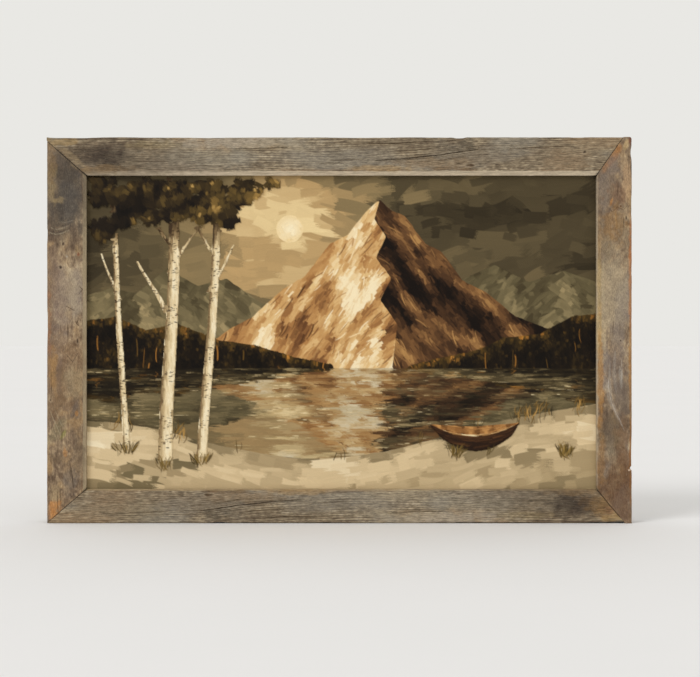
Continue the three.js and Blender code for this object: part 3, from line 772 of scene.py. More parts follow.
RIGHT_MARKS: Marks = (
    Blot(22, 21, 21, 4.6, "a5713f", 0.72, 0.34, turn=35), Blot(8, 6, 7, 3, "b89d72", 0.7, 0.3, turn=20),
    Blot(56, 26, 40, 15, "6f6052", 0.5, 0.4), Blot(50, 5, 26, 6, "ba9a76", 0.6, 0.5),
    Blot(205, 32, 34, 7, "b9a583", 0.5, 0.5), Blot(306, 19, 22, 17, "584631", 0.68, 0.5),
    Blot(270, 10, 34, 12, "6d6055", 0.45, 0.5), Blot(346, 6, 26, 9, "6c4c33", 0.62, 0.5),
    Blot(3, 2, 5, 2.5, "6f3f2c"), Blot(30, 20, 16, 9, "7f7268", 0.5), Blot(50, 30, 26, 7, "7d7166", 0.5),
    Blot(62, 14, 10, 11, "7a5c45", 0.5, 1.0), Blot(68, 22, 5, 1.3, "b4793a", 0.55, 0.6, turn=20),
    Blot(84, 17, 14, 1.3, "a8804c", 0.45, 0.6, turn=-6), Blot(100, 9, 28, 8, "8f7d63", 0.45, 0.5),
    Blot(120, 27, 34, 10, "7c6c58", 0.5, 0.5), Blot(150, 1.2, 62, 2.6, "a8683a", 0.75, 0.5),
    Blot(240, 1.1, 74, 2.3, "a3743f", 0.65, 0.6), Blot(165, 20, 48, 20, "ab9b80", 0.6, 0.3),
    Blot(190, 13, 34, 6, "867a6e", 0.4), Blot(180, 34.4, 60, 3, "b39a6b", 0.55, 0.5),
    Blot(250, 33, 60, 3.4, "a97b42", 0.6, 0.6), Blot(235, 16, 40, 9, "7a6c62", 0.5),
    Blot(310, 25, 26, 6, "6f6254", 0.45), Blot(318, 9, 26, 7, "7d6249", 0.6, 0.7),
    Blot(330, 22, 14, 5, "8f8068", 0.5, 0.6), Blot(374, 17, 42, 26, "66482f", 0.7, 0.25),
    # The near-white split at 345.6 is the chip's bare wood with a painted highlight on it.
    Blot(350, 30, 20, 5, "6e6359", 0.4), Split((345.6, -1.6, 347, 4.4), 0.9, 0.4, "f4dcc2", 0.9),
    Blot(330, 1, 52, 1.8, "8f5f30", 0.6, 0.5),
    Split((234, 23, 259, 23.9, 275, 22, 287, 17.3, 297, 12, 306, 8), 2.0, 0.05, "a69d91", 0.4),
    Split((252, 26.5, 270, 25.4, 284, 20.6), 1.7, 0.05, "aaa092", 0.45),
    Split((238, 12.8, 250, 11.6, 262, 11.2), 2.4, 0.05, "a69e92", 0.5),
    Split((222, 17.6, 246, 18.8, 268, 16.6), 2.6, 0.05, "9f9588", 0.4),
    Split((130, 30, 150, 31, 176, 29), 2.6, 0.05, "b3a384", 0.4), Nick(344.4, 2.7, 2.6),
    Blot(112, 25, 10, 7, "8c7b61", 0.4, 0.7),
    Split((70, 4, 76, 9, 73, 15, 78, 20, 75, 25), 0.7, 0.4, "5f4836"),
    Split((304, 2, 300, 9, 306, 12), 0.5, 0.4, "6a5039"),
    Split((330, 3, 322, 10, 331, 12), 0.5, 0.4, "6a5039"), Pit(72, 12, 1.2, 1.2, 0.4, "5b3e2c"),
    Pit(84, 6, 2.4, 1.2, 0.5, "5a4a3a"), Pit(212, 12, 1.2, 1.2, 0.4), Nick(16, 10, 0.7),
    Nick(74, 26, 0.5), Nick(330, 30, 0.5),
    Split((250, 25, 262, 24.4, 276, 21.6, 288, 16.4, 296, 12), 0.7, 0.05, "c9c0b6", 0.5),
    Split((256, 22.4, 270, 21.4, 282, 17.6, 290, 13.4), 0.6, 0.05, "c3bab0", 0.42),
    Blot(90, 18, 18, 14, "906a3a", 0.42, 0.8), Blot(340, 32, 26, 5, "8a6334", 0.5, 0.7),
    Blot(272, 13, 24, 14, "6b5f54", 0.4, 0.5),
    Split((230, 11.2, 244, 10.4, 258, 11.8), 0.7, 0.05, "beb6ac", 0.4),
)

WEAR: dict[Side, Wear] = {
    # The top bevel's colour is paler than planed wood alone: a painted highlight on the bevel that faces
    # down.
    Side.TOP: Wear(TOP_MARKS, PLANK_DRIFT, (4.6, 2.2), "c6b69d", 0.17),
    Side.BOTTOM: Wear(BOTTOM_MARKS, PLANK_DRIFT, (1.2, 1.0), "9c8765", 0.22),
    Side.LEFT: Wear(LEFT_MARKS, ((0, 0), (402, 9)), (3.6, 1.9), "a8977a"),
    Side.RIGHT: Wear(RIGHT_MARKS, ((0, 0), (402, -12)), (1.6, 1.2), "a7977f"),
}


# ---------------- barn boards


@dataclass(frozen=True)
class BarnWoodFinish:
    """Dry, unvarnished barn wood: the carved colours with fibres too fine to carve."""

    name: str
    drawn: float = 110.0
    contrast: float = 0.9
    relief_mm: float = 0.22
    dust: str = "a89f8c"

    def material(self) -> Material:
        """Builds the finish.

        Returns:
            The material.
        """
        g = Graph(self.name)
        grain = g.read("grain_place", "Vector")
        fibre = g.noise(grain.stretched(self.drawn, 900, 900), detail=4, rough=0.66)
        pores = g.noise(grain.stretched(3 * self.drawn, 1900, 1900), detail=2)
        dust = g.noise(grain, 420, detail=3)
        contrast = self.contrast * (1 - 0.55 * g.read("planed", "Fac"))
        shade = 1 + contrast * (fibre.between(0.25, 0.75, -0.5, 0.5) + pores.between(0.3, 0.7, -0.18, 0.18))
        colour = g.mix(dust.between(0.56, 0.78, 0.0, 0.22), g.shaded(shade), tint(self.dust))
        normal = g.bump(fibre + pores * 0.5, self.relief_mm)
        rough = 0.78 + fibre * 0.16
        return g.finish(Base_Color=colour, Roughness=rough, Normal=normal, Specular_IOR_Level=0.25)


@dataclass
class Board:
    """One mitred board, carved by its grain, cracks and wear."""

    side: Side
    timber: Timber
    wear: Wear
    mitres: tuple[Pair, Pair]
    worn_radius: float = 1.3
    rubbed: float = 3.2
    gap: float = 0.15
    shy: float = 0.12
    columns: int = 480
    strips: int = 2

    NEAR_ENDS = (0.15, 0.4, 0.8)
    SAWN = "a58a62"
    PENCIL = "76573a"
    CRACK = "5b4a38"
    DULL = "b3a48f"

    def __post_init__(self) -> None:
        """Works out the board's lie and draws its noise."""
        (x0, x1), (z0, z1) = LAYOUT.outer
        _, start, self.run, self.inward = self.side.value
        self.start = ((x0, x1)[start[0]], (z0, z1)[start[1]])
        self.length = x1 - x0 if self.side.level else z1 - z0
        self.width = LAYOUT.width(self.side)
        self.front, self.back = LAYOUT.depth
        self.noise = Noise(self.timber.seed)
        self.fine = Noise(self.timber.seed + 1)

    def section(self) -> Array:
        """The cross-section, walked from the outer back corner round the front.

        Returns:
            (inward, depth behind the front) for each point.
        """
        deep, wide, r = self.back - self.front, self.width, self.worn_radius
        face, drop = self.wear.bevel
        inner = wide - LAYOUT.rabbet
        folds = sorted(fold for _, fold in self.mitres if fold)
        walk = [
            ((0, deep), 0.8),
            ((0, r), 0.35),
            ((r * 0.29, r * 0.29), 0.35),
            ((r, 0), 0.42),
            *(((fold, 0), 0.42) for fold in folds),
            ((wide - face, 0), 0.42),
            ((wide, drop), 0.8),
            ((wide, LAYOUT.lip), 1.6),
            ((inner, LAYOUT.lip), 2.6),
            ((inner, deep), 1.25),
            *(((fold, deep), 1.25) for fold in reversed(folds)),
            ((0, deep), 1.0),
        ]
        points = []
        for (start, spacing), (end, _) in zip(walk, walk[1:]):
            a, b = np.array(start, float), np.array(end, float)
            count = max(1, round(np.linalg.norm(b - a) / spacing))
            points += [a + (b - a) * i / count for i in range(count)]
        return np.array(points)

    def ends(self, inward: Array) -> tuple[Array, Array]:
        """Where the board's two mitres cut it.

        Args:
            inward: Distances from the outer edge.

        Returns:
            The distance along the board at its first and last end.
        """
        order = list(Side)
        place = order.index(self.side)
        found = []
        for (along, fold), other in zip(self.mitres, (order[place - 1], order[(place + 1) % 4])):
            share = np.clip((inward - fold) / (self.width - fold), 0, None)
            found.append(along + (LAYOUT.width(other) - along) * share + self.gap * (inward >= fold))
        first, last = found[0], self.length - found[1]
        if self.side is Side.RIGHT:
            r = self.rubbed
            first = np.maximum(first, r - np.sqrt(np.clip(r**2 - (r - inward).clip(0) ** 2, 0, None)))
        return first, last

    def end_caps(self, section: Array, columns: int) -> list[Array]:
        """The faces that close the board's two ends, bent where the mitre starts.

        Args:
            section: The cross-section's points.
            columns: How many points run along the board.

        Returns:
            The corners of each face.
        """
        rows = np.arange(len(section))
        half = len(rows) // 2
        caps = []
        for (_, fold), column, flip in zip(self.mitres, (0, columns - 1), (1, -1)):
            near = np.abs(section[:, 0] - fold)
            front, back = np.argmin(near[:half]), half + np.argmin(near[half:])
            if fold:
                parts = [np.concatenate([rows[: front + 1], rows[back:]]), rows[front : back + 1]]
            else:
                parts = [rows]
            caps += [(part * columns + column)[::flip] for part in parts]
        return caps

    def outward(self, section: Array) -> Array:
        """The outward normal at each point of the cross-section.

        Args:
            section: The cross-section's points.

        Returns:
            Unit vectors, as (inward, depth).
        """
        steps = section - np.roll(section, 1, axis=0)
        turned = np.stack([steps[:, 1], -steps[:, 0]], -1) / np.linalg.norm(steps, axis=1)[:, None]
        normal = turned + np.roll(turned, -1, axis=0)
        return normal / np.linalg.norm(normal, axis=1)[:, None]

    def build(self, material: Material) -> None:
        """Carves the board and makes its piece.

        Args:
            material: Its finish.
        """
        section = self.section()
        inward, depth = section[:, :1], section[:, 1:]
        first, last = self.ends(inward)
        close = np.array(self.NEAR_ENDS) / self.length
        share = np.unique(np.concatenate([np.linspace(0, 1, self.columns), close, 1 - close]))
        along = first + (last - first) * share
        inward, depth = inward + 0 * along, depth + 0 * along
        near = np.minimum(
            np.where(inward < self.mitres[0][1], self.length, along - first),
            np.where(inward < self.mitres[1][1], self.length, last - along),
        )
        skin = Skin(along, inward, depth, near, self.noise, self.fine)
        self.grow(skin)
        self.weather(skin)
        lean = self.outward(section)
        carved_in = inward + lean[:, :1] * skin.height + self.edge_wear(skin)
        carved_deep = depth + lean[:, 1:] * skin.height
        x = self.start[0] + self.run[0] * along + self.inward[0] * carved_in
        z = self.start[1] + self.run[1] * along + self.inward[1] * carved_in
        points = np.stack([x, self.front + carved_deep, z], -1).reshape(-1, 3) * MM
        rows, columns = along.shape
        quads = grid_quads(rows, columns, closed=True)[:, ::-1]
        caps = self.end_caps(section, columns)
        planed = ease(-0.3, 0.6, inward - self.width + self.wear.bevel[0])
        piece = Piece(f"board_{self.side.word}_carved", points, quads, caps, skin.colour.reshape(-1, 3))
        piece.vectors["grain_place"] = np.stack([along, inward, depth], -1).reshape(-1, 3) * MM
        piece.vectors["planed"] = np.repeat(planed.reshape(-1, 1), 3, axis=1)
        piece.uvs = self.unwrap(section, columns, caps)
        piece.build(material, "barn_wood", f"board_{self.side.word}")

    def unwrap(self, section: Array, columns: int, caps: list[Array]) -> Array:
        """Lays the board's skin out in a few long strips, side by side.

        Args:
            section: The cross-section's points.
            columns: Points along the board.
            caps: The faces at the ends.

        Returns:
            A UV for each corner of each face.
        """
        steps = np.linalg.norm(np.roll(section, -1, axis=0) - section, axis=1)
        girth = np.concatenate([[0], np.cumsum(steps)]) / steps.sum()
        r, c = np.meshgrid(np.arange(len(section)), np.arange(columns - 1), indexing="ij")
        per_strip = (columns - 1) / self.strips
        strip = np.floor((c + 0.5) / per_strip)
        span = 0.96 / self.strips
        corners = []
        for row_step, column_step in ((0, 1), (1, 1), (1, 0), (0, 0)):
            u = 0.01 + 0.94 * (c + column_step - strip * per_strip) / per_strip
            v = 0.01 + strip * (span + 0.01) + span * girth[r + row_step]
            corners.append(np.stack([u, v], -1))
        inside = section / np.abs(section).max(0) * [0.025, 0.2] + [0.97, 0.02]
        ends = [inside[cap // columns] + [0, 0.24 * i] for i, cap in enumerate(caps)]
        return np.concatenate([np.stack(corners, 2).reshape(-1, 2), *ends])

    def edge_wear(self, skin: Skin) -> Array:
        """How far the outer edge has worn back.

        Args:
            skin: The board's surface.

        Returns:
            Millimetres inwards.
        """
        along, depth = skin.along, skin.depth
        wave = 0.25 + 0.16 * self.noise.rough(along / 46, 3.1 + 0 * along, 3)
        wave = wave + 0.12 * self.fine.rough(along / 9, 7.7 + depth / 40, 3)
        for mark in self.wear.marks:
            wave = wave + mark.worn(along, depth)
        near_front = 0.55 + 0.45 * np.exp(-depth / 6)
        ends = ease(0, 3, np.minimum(along, self.length - along))
        return wave.clip(0) * near_front * bell(skin.inward, 5) * ends

    def grow(self, skin: Skin) -> None:
        """Gives the skin the wood's own rings, fibres and colours.

        Args:
            skin: The board's surface.
        """
        t, along, inward, depth = self.timber, skin.along, skin.inward, skin.depth
        rough, fine = self.noise.rough, self.fine.rough
        across = inward + np.interp(along, *zip(*self.wear.drift))
        for mark in self.wear.marks:
            across = across - mark.swung(along, inward)
        wander = 2.2 * rough(along / 150, across / 60, 3) + 0.5 * rough(along / 30, across / 9, 2)
        wander = wander + t.swirl * 0.5 * rough(along / 42, across / 30 + 60, 3)
        rings = np.hypot(across - t.pith[0] + wander, depth + 0.02 * along - t.pith[1]) / t.ring
        rings = rings + 0.35 * self.fine.value(rings * 0.37, along / 200)
        part = rings - np.floor(rings)
        late = ease(0.45, 0.86, part) * (1 - ease(0.9, 1.0, part))
        strands = fine(along / t.strand, across / 0.8 + depth / 0.8, 2)
        streaks = rough(along / (3.2 * t.strand), across / 1.5 + depth / 1.5 + 31, 3)
        turned = along + t.swirl * fine(along / 34, inward / 22 + depth / 22, 3)
        sunk = inward + t.swirl * 0.7 * fine(along / 34 + 70, inward / 22 + depth / 22, 3)
        clouds = rough(turned / (9 * t.stretch) + 5, sunk / 9 + depth / 14, 5)
        patches = fine(turned / 60 + 9, sunk / 26 + depth / 30, 3)
        specks = fine(along / 3.0, inward / 2.2 + depth / 2.2 + 77, 2)
        height = t.ring_depth * (late - 1) * (0.55 + 0.45 * patches) + 0.10 * strands
        skin.height = height + 0.05 * specks + 0.06 * clouds
        tone = t.fibre * strands - t.ring_stain * late + 0.2 * streaks + t.cloud * clouds
        skin.colour = ramp(t.stops, tone + t.mottle * specks + self.wear.bleached)
        skin.lay(t.cool, 0.55 * ease(0.05, 0.6, patches))
        skin.lay(t.warm, 0.5 * ease(0.1, 0.65, -patches + 0.5 * clouds))
        skin.across, skin.strands, skin.specks = across, strands, specks

    def weather(self, skin: Skin) -> None:
        """Adds the marks, the checks and what has happened to the joints and the sides.

        Args:
            skin: The board's surface.
        """
        self.plane_edge(skin)
        for number, mark in enumerate(self.wear.marks):
            mark.strike(skin, number)
        self.open_checks(skin)
        sawn = bell(skin.near, 2.2) * (0.5 + 0.5 * skin.specks) * ease(0.6, 1.6, skin.near)
        skin.lay(self.SAWN, 0.5 * sawn.clip(0, 1))
        seam = np.exp(-skin.near / (0.45 + 0.75 * ease(self.width - 8, self.width, skin.inward)))
        skin.colour = skin.colour * (1 - 0.6 * seam[..., None])
        skin.carve(0.45, seam)
        dull = skin.colour.mean(-1, keepdims=True) * tint(self.DULL) / tint(self.DULL).mean()
        skin.lay(dull, 0.5 * ease(2, 9, skin.depth))
        skin.height = np.minimum(skin.height - self.shy, 0)

    def plane_edge(self, skin: Skin) -> None:
        """Lays the paler wood of the planed inner edge over the colour, with a painted highlight on the top
        board's bevel.

        Args:
            skin: The board's surface.
        """
        along, rough = skin.along, self.noise.rough
        edge = self.width - self.wear.bevel[0] - 0.3 + 0.5 * rough(along / 20, 9.2 + 0 * along, 3)
        off = skin.inward - edge
        line = bell(off + 0.4, 0.7) * ease(0.1, 0.5, rough(along / 40, 2.2 + 0 * along, 2))
        skin.lay(self.PENCIL, 0.5 * line)
        shade = 1 + 0.14 * self.fine.rough(along / 22, skin.inward / 1.5, 3)
        share = ease(0, 0.9, off) * (0.9 + 0.16 * skin.strands).clip(0, 1)
        # Lays the bevel's planed wood, with the painted highlight on the top board.
        skin.lay(tint(self.wear.bevel_wood_and_highlight) * shade[..., None], share)

    def open_checks(self, skin: Skin) -> None:
        """Adds the many short drying checks that run with the grain on every face.

        Args:
            skin: The board's surface.
        """
        rng = np.random.default_rng(self.timber.seed + 5)
        low, high = skin.across.min(), skin.across.max()
        for _ in range(self.timber.checks):
            start, reach = rng.uniform(0, self.length), rng.uniform(8, 46)
            line, wide, deep = rng.uniform(low, high), rng.uniform(0.3, 0.62), rng.uniform(0.25, 0.7)
            face = rng.choice([0.0, 0.0, 9.0, 20.0])
            share = ((skin.along - start) / reach).clip(0, 1)
            off = skin.across - line + (skin.depth - face) * 0.5 * (face > 0)
            inside = np.sin(np.pi * share) ** 0.6 * ease(1.0, 0.2, np.abs(off) / wide)
            inside = inside * (np.abs(skin.depth - face) < 8)
            skin.carve(deep, inside)
            skin.lay(self.CRACK, 0.6 * inside)


@dataclass(frozen=True)
class BoardFrame:
    """The frame: two long boards of straight grain and two short ones of blotched wood."""

    straight: BarnWoodFinish = BarnWoodFinish("barn_wood")
    blotched: BarnWoodFinish = BarnWoodFinish("barn_wood_blotched", drawn=380.0, contrast=0.55)

    def build(self) -> None:
        """Carves the four boards."""
        straight, blotched = self.straight.material(), self.blotched.material()
        for side in Side:
            timber, wood = (STRAIGHT_GRAIN, straight) if side.level else (BLOTCHED, blotched)
            Board(side, timber, WEAR[side], MITRES[side]).build(wood)


# ---------------- laying paint

# A place in the picture is (right, up) in millimetres from the middle of the visible canvas.


@dataclass(frozen=True)
class Brush:
    """How one kind of stroke is laid. Lengths are in millimetres, the rest are shares."""

    length: Pair
    width: Pair
    bend: float = 0.08
    ragged: float = 0.12
    streak: float = 0.09
    dry: float = 0.3
    load: float = 0.55
    body: float = 0.14
    rim: float = 0.14


KNIFE = Brush((18, 44), (9, 17), ragged=0.06, streak=0.03, dry=0.15, load=0.4, body=0.16, rim=0.2)
BROAD = Brush((30, 70), (10, 18), bend=0.05, body=0.1, rim=0.08)
FLAT = Brush((14, 34), (5, 9))
FILBERT = Brush((7, 16), (3, 6), bend=0.12, load=0.7)
RIGGER = Brush((8, 26), (0.9, 1.9), bend=0.1, ragged=0.2, body=0.12, rim=0.05)


class Surface:
    """The face of the canvas while it is painted: colour and height at a fine pitch."""

    TABLE = 64

    def __init__(self, low: Pair, high: Pair, pitch: float, base: str) -> None:
        """Primes the surface.

        Args:
            low: Its lower left corner.
            high: Its upper right corner.
            pitch: The distance between its points.
            base: The colour of the ground.
        """
        self.pitch = pitch
        self.x = np.arange(low[0], high[0], pitch)
        self.y = np.arange(low[1], high[1], pitch)
        self.shape = (len(self.y), len(self.x))
        self.colour = np.tile(tint(base), (*self.shape, 1))
        self.height = np.zeros(self.shape)
        across, up = np.meshgrid(self.x, self.y)
        noise = Noise(3)
        weave = np.sin(across * 4.3) * np.sin(up * 4.3)
        self.tooth = 0.5 + 0.28 * weave + 0.3 * noise.rough(across / 1.7, up / 1.7, 3)

    def window(self, at: Pair, reach: Pair) -> tuple[slice, slice]:
        """Finds the part of the surface that a box covers.

        Args:
            at: The box's middle.
            reach: Half its width and height.

        Returns:
            Its rows and columns.
        """
        spans = []
        for place, far, first in ((at[1], reach[1], self.y[0]), (at[0], reach[0], self.x[0])):
            spans.append(slice(*(max(int((place + way * far - first) / self.pitch), 0) for way in (-1, 1))))
        return tuple(spans)

    def cells(self, x: Array, y: Array) -> tuple[Array, Array]:
        """The row and column of each place, held inside the surface."""
        row = ((y - self.y[0]) / self.pitch).astype(int).clip(0, self.shape[0] - 1)
        return row, ((x - self.x[0]) / self.pitch).astype(int).clip(0, self.shape[1] - 1)

    def stroke(
        self, at: Pair, angle: float, brush: Brush, colours: tuple[Array, Array], clip: Array, edge: float,
        lift: float, rng: np.random.Generator,
    ) -> None:
        """Lays one stroke.

        Args:
            at: The middle of the stroke.
            angle: The way that it runs, in radians.
            brush: What it is laid with.
            colours: The colours on the brush's left and right.
            clip: How far each point of the surface lies inside the area, from 0 to 1.
            edge: How far inside the stroke has to stay.
            lift: The height that the stroke lies at.
            rng: Where its chances come from.
        """
        long, wide = rng.uniform(*brush.length), rng.uniform(*brush.width)
        c, s = math.cos(angle), math.sin(angle)
        sag = brush.bend * long * rng.uniform(-1, 1)
        pad = abs(sag) + 1
        reach = (abs(c) * long / 2 + abs(s) * wide / 2 + pad, abs(s) * long / 2 + abs(c) * wide / 2 + pad)
        rows, columns = self.window(at, reach)
        inside = clip[rows, columns]
        if not inside.size or inside.max() < edge:
            return
        x, y = self.x[columns][None, :] - at[0], self.y[rows][:, None] - at[1]
        u = (x * c + y * s) / long + 0.5
        v = (y * c - x * s - sag * (4 * u * (1 - u) - 0.5)) / (wide / 2)
        bristle = ((v + 1) * (0.5 * self.TABLE)).astype(int).clip(0, self.TABLE - 1)
        table = rng.uniform(-1, 1, (4, self.TABLE))
        table[:2] = (table[:2] + np.roll(table[:2], 1, 1) + np.roll(table[:2], -1, 1)) / 2
        table = table[:, bristle]
        start = brush.ragged * (0.5 + 0.5 * table[0])
        end = 1 - brush.ragged * (0.5 + 0.5 * table[1])
        flank = wide / 2 / (1.6 * self.pitch)
        along = long / (2.0 * self.pitch)
        alpha = np.minimum((1 - np.abs(v)) * flank, np.minimum(u - start, end - u) * along).clip(0, 1)
        worn = (u - 1 + brush.dry * 1.4 + 0.12 * table[2]) / max(brush.dry, 0.01)
        alpha *= ((1.05 - worn.clip(0, 1) * 0.95 - 0.8 * (1 - self.tooth[rows, columns])) * 4).clip(0, 1)
        alpha *= ((inside - edge) * 7 + 0.5).clip(0, 1)
        side = 0.5 * v * rng.choice([-1, 1]) + 0.5 * table[3] * 0.7
        laid = blend(colours[0], colours[1], (0.5 + brush.load * side).clip(0, 1))
        laid = laid * (1 + brush.streak * (table[2] + 0.4 * table[0]))[..., None]
        self.colour[rows, columns] = blend(self.colour[rows, columns], laid, alpha)
        ridge = bell((1 - np.abs(v)) * wide / 2, 0.55)
        ridge = ridge + 0.8 * bell((end - u) * long, 0.8)
        relief = brush.body * (0.8 + 0.3 * table[2]) + brush.rim * ridge.clip(0, 1.2)
        old = self.height[rows, columns]
        new = lift + 0.35 * (old - lift).clip(-0.3, 0.5) + relief
        self.height[rows, columns] = old * (1 - alpha) + new * alpha


class Areas:
    """Which part of the painting each point belongs to, read from the solids' outlines."""

    PAST_TRUNKS = 12.0

    def __init__(self, names: tuple[str, ...], surface: Surface, middle: Pair) -> None:
        """Marks every point with the nearest area's number.

        Args:
            names: The areas' names, from the farthest to the nearest.
            surface: What they are marked on.
            middle: Where the picture's middle lies in the frame's plane.
        """
        self.names = names
        self.surface = surface
        noise = Noise(8)
        x, y = np.meshgrid(surface.x, surface.y)
        labels = np.full(surface.shape, -1)
        for number, name in enumerate(names):
            labels[self.filled(f"paint_{name}", middle)] = number
        for _ in range(4):
            for axis, step in ((0, 1), (0, -1), (1, 1), (1, -1)):
                labels = np.where(labels < 0, np.roll(labels, step, axis), labels)
        moved = []
        for i, index in enumerate(np.indices(surface.shape)):
            wander = 1.7 * noise.rough(x / 7 + 50 * i, y / 7, 2) / surface.pitch * 0.5
            moved.append((index + wander.astype(int)).clip(0, surface.shape[i] - 1))
        self.labels = labels[tuple(moved)]

    def filled(self, node: str, middle: Pair) -> Array:
        """Fills a solid's front outline.

        Args:
            node: The solid.
            middle: Where the picture's middle lies.

        Returns:
            True at each point inside it.
        """
        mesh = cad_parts[node].data
        points = np.empty(len(mesh.vertices) * 3, np.float32)
        mesh.vertices.foreach_get("co", points)
        points = points.reshape(-1, 3) / MM
        front = points[:, 1].min() + 0.05
        where = np.round(points, 3)
        seen: dict[Any, int] = {}
        for polygon in mesh.polygons:
            corners = [tuple(where[i]) for i in polygon.vertices]
            if max(corner[1] for corner in corners) < front:
                for edge in zip(corners, corners[1:] + corners[:1]):
                    key = tuple(sorted(edge, key=itemgetter(2, 0, 1)))
                    seen[key] = seen.get(key, 0) + 1
        crossings = np.zeros((self.surface.shape[0], self.surface.shape[1] + 1), int)
        level = self.surface.y + middle[1]
        for (low, high), count in seen.items():
            if count == 1 and low[2] != high[2]:
                rows = np.nonzero((level >= low[2]) & (level < high[2]))[0]
                share = (level[rows] - low[2]) / (high[2] - low[2])
                x = low[0] + (high[0] - low[0]) * share - middle[0]
                np.add.at(crossings, (rows, np.searchsorted(self.surface.x, x)), 1)
        return np.cumsum(crossings, axis=1)[:, :-1] % 2 == 1

    def numbers(self, names: tuple[str, ...]) -> list[int]:
        """The numbers of some areas."""
        return [self.names.index(name) for name in names]

    def clip(self, names: tuple[str, ...], soft: float, behind: float = 2.0) -> Array:
        """How far each point lies inside some areas or behind what stands before them.

        Args:
            names: The areas' names.
            soft: The width of the edge in millimetres.
            behind: How far they go on behind what stands before them.

        Returns:
            From 0 outside to 1 inside.
        """
        own = np.isin(self.labels, self.numbers(names))
        near = self.blurred(own.astype(float), behind) > 1e-4
        inside = own | (near & (self.labels > max(self.numbers(names))))
        return self.blurred(inside.astype(float), soft)

    def blurred(self, values: Array, soft: float) -> Array:
        """Averages a field over a square, twice.

        Args:
            values: The field.
            soft: Half the square's side, in millimetres.

        Returns:
            The smoother field.
        """
        reach = max(1, round(soft / self.surface.pitch))
        width = 2 * reach + 1
        for axis in (0, 1, 0, 1):
            pads = [(reach + 1, reach) if i == axis else (0, 0) for i in (0, 1)]
            padded = np.pad(values, pads, mode="edge")
            total = np.cumsum(padded, axis)
            ahead = np.take(total, range(width, total.shape[axis]), axis)
            values = (ahead - np.take(total, range(total.shape[axis] - width), axis)) / width
        return values

    def skyline(self, names: tuple[str, ...]) -> Array:
        """The highest point of some areas in each column, carried on behind the trunks.

        Args:
            names: The areas' names.

        Returns:
            Its height for each column of the surface.
        """
        inside = np.isin(self.labels, self.numbers(names))
        top = inside.shape[0] - 1 - np.argmax(inside[::-1], axis=0)
        level = np.where(inside.any(0), self.surface.y[top], self.surface.y[0])
        reach = round(self.PAST_TRUNKS / self.surface.pitch)
        return np.lib.stride_tricks.sliding_window_view(np.pad(level, reach, "edge"), 2 * reach + 1).max(-1)

    def share(self, name: str, axis: int) -> Array:
        """How far each point lies through its area along its row or column.

        Args:
            name: The area.
            axis: 1 to go across, 0 to go up.

        Returns:
            0 at the first edge and 1 at the last.
        """
        inside = self.labels == self.names.index(name)
        order = np.arange(inside.shape[axis])
        order = order[None, :] if axis == 1 else order[:, None]
        before = np.maximum.accumulate(np.where(~inside, order, -1), axis)
        flipped = np.flip(np.where(~inside, order, inside.shape[axis]), axis)
        after = np.flip(np.minimum.accumulate(flipped, axis), axis)
        return np.where(inside, (order - before) / np.maximum(after - before, 1), 0.5)


@dataclass(frozen=True)
class Pass:
    """One round of strokes over an area."""

    brush: Brush
    cover: float
    lighter: float = 0.0
    vary: float = 0.1
    above: float = -9.0
    spread: float = 0.25


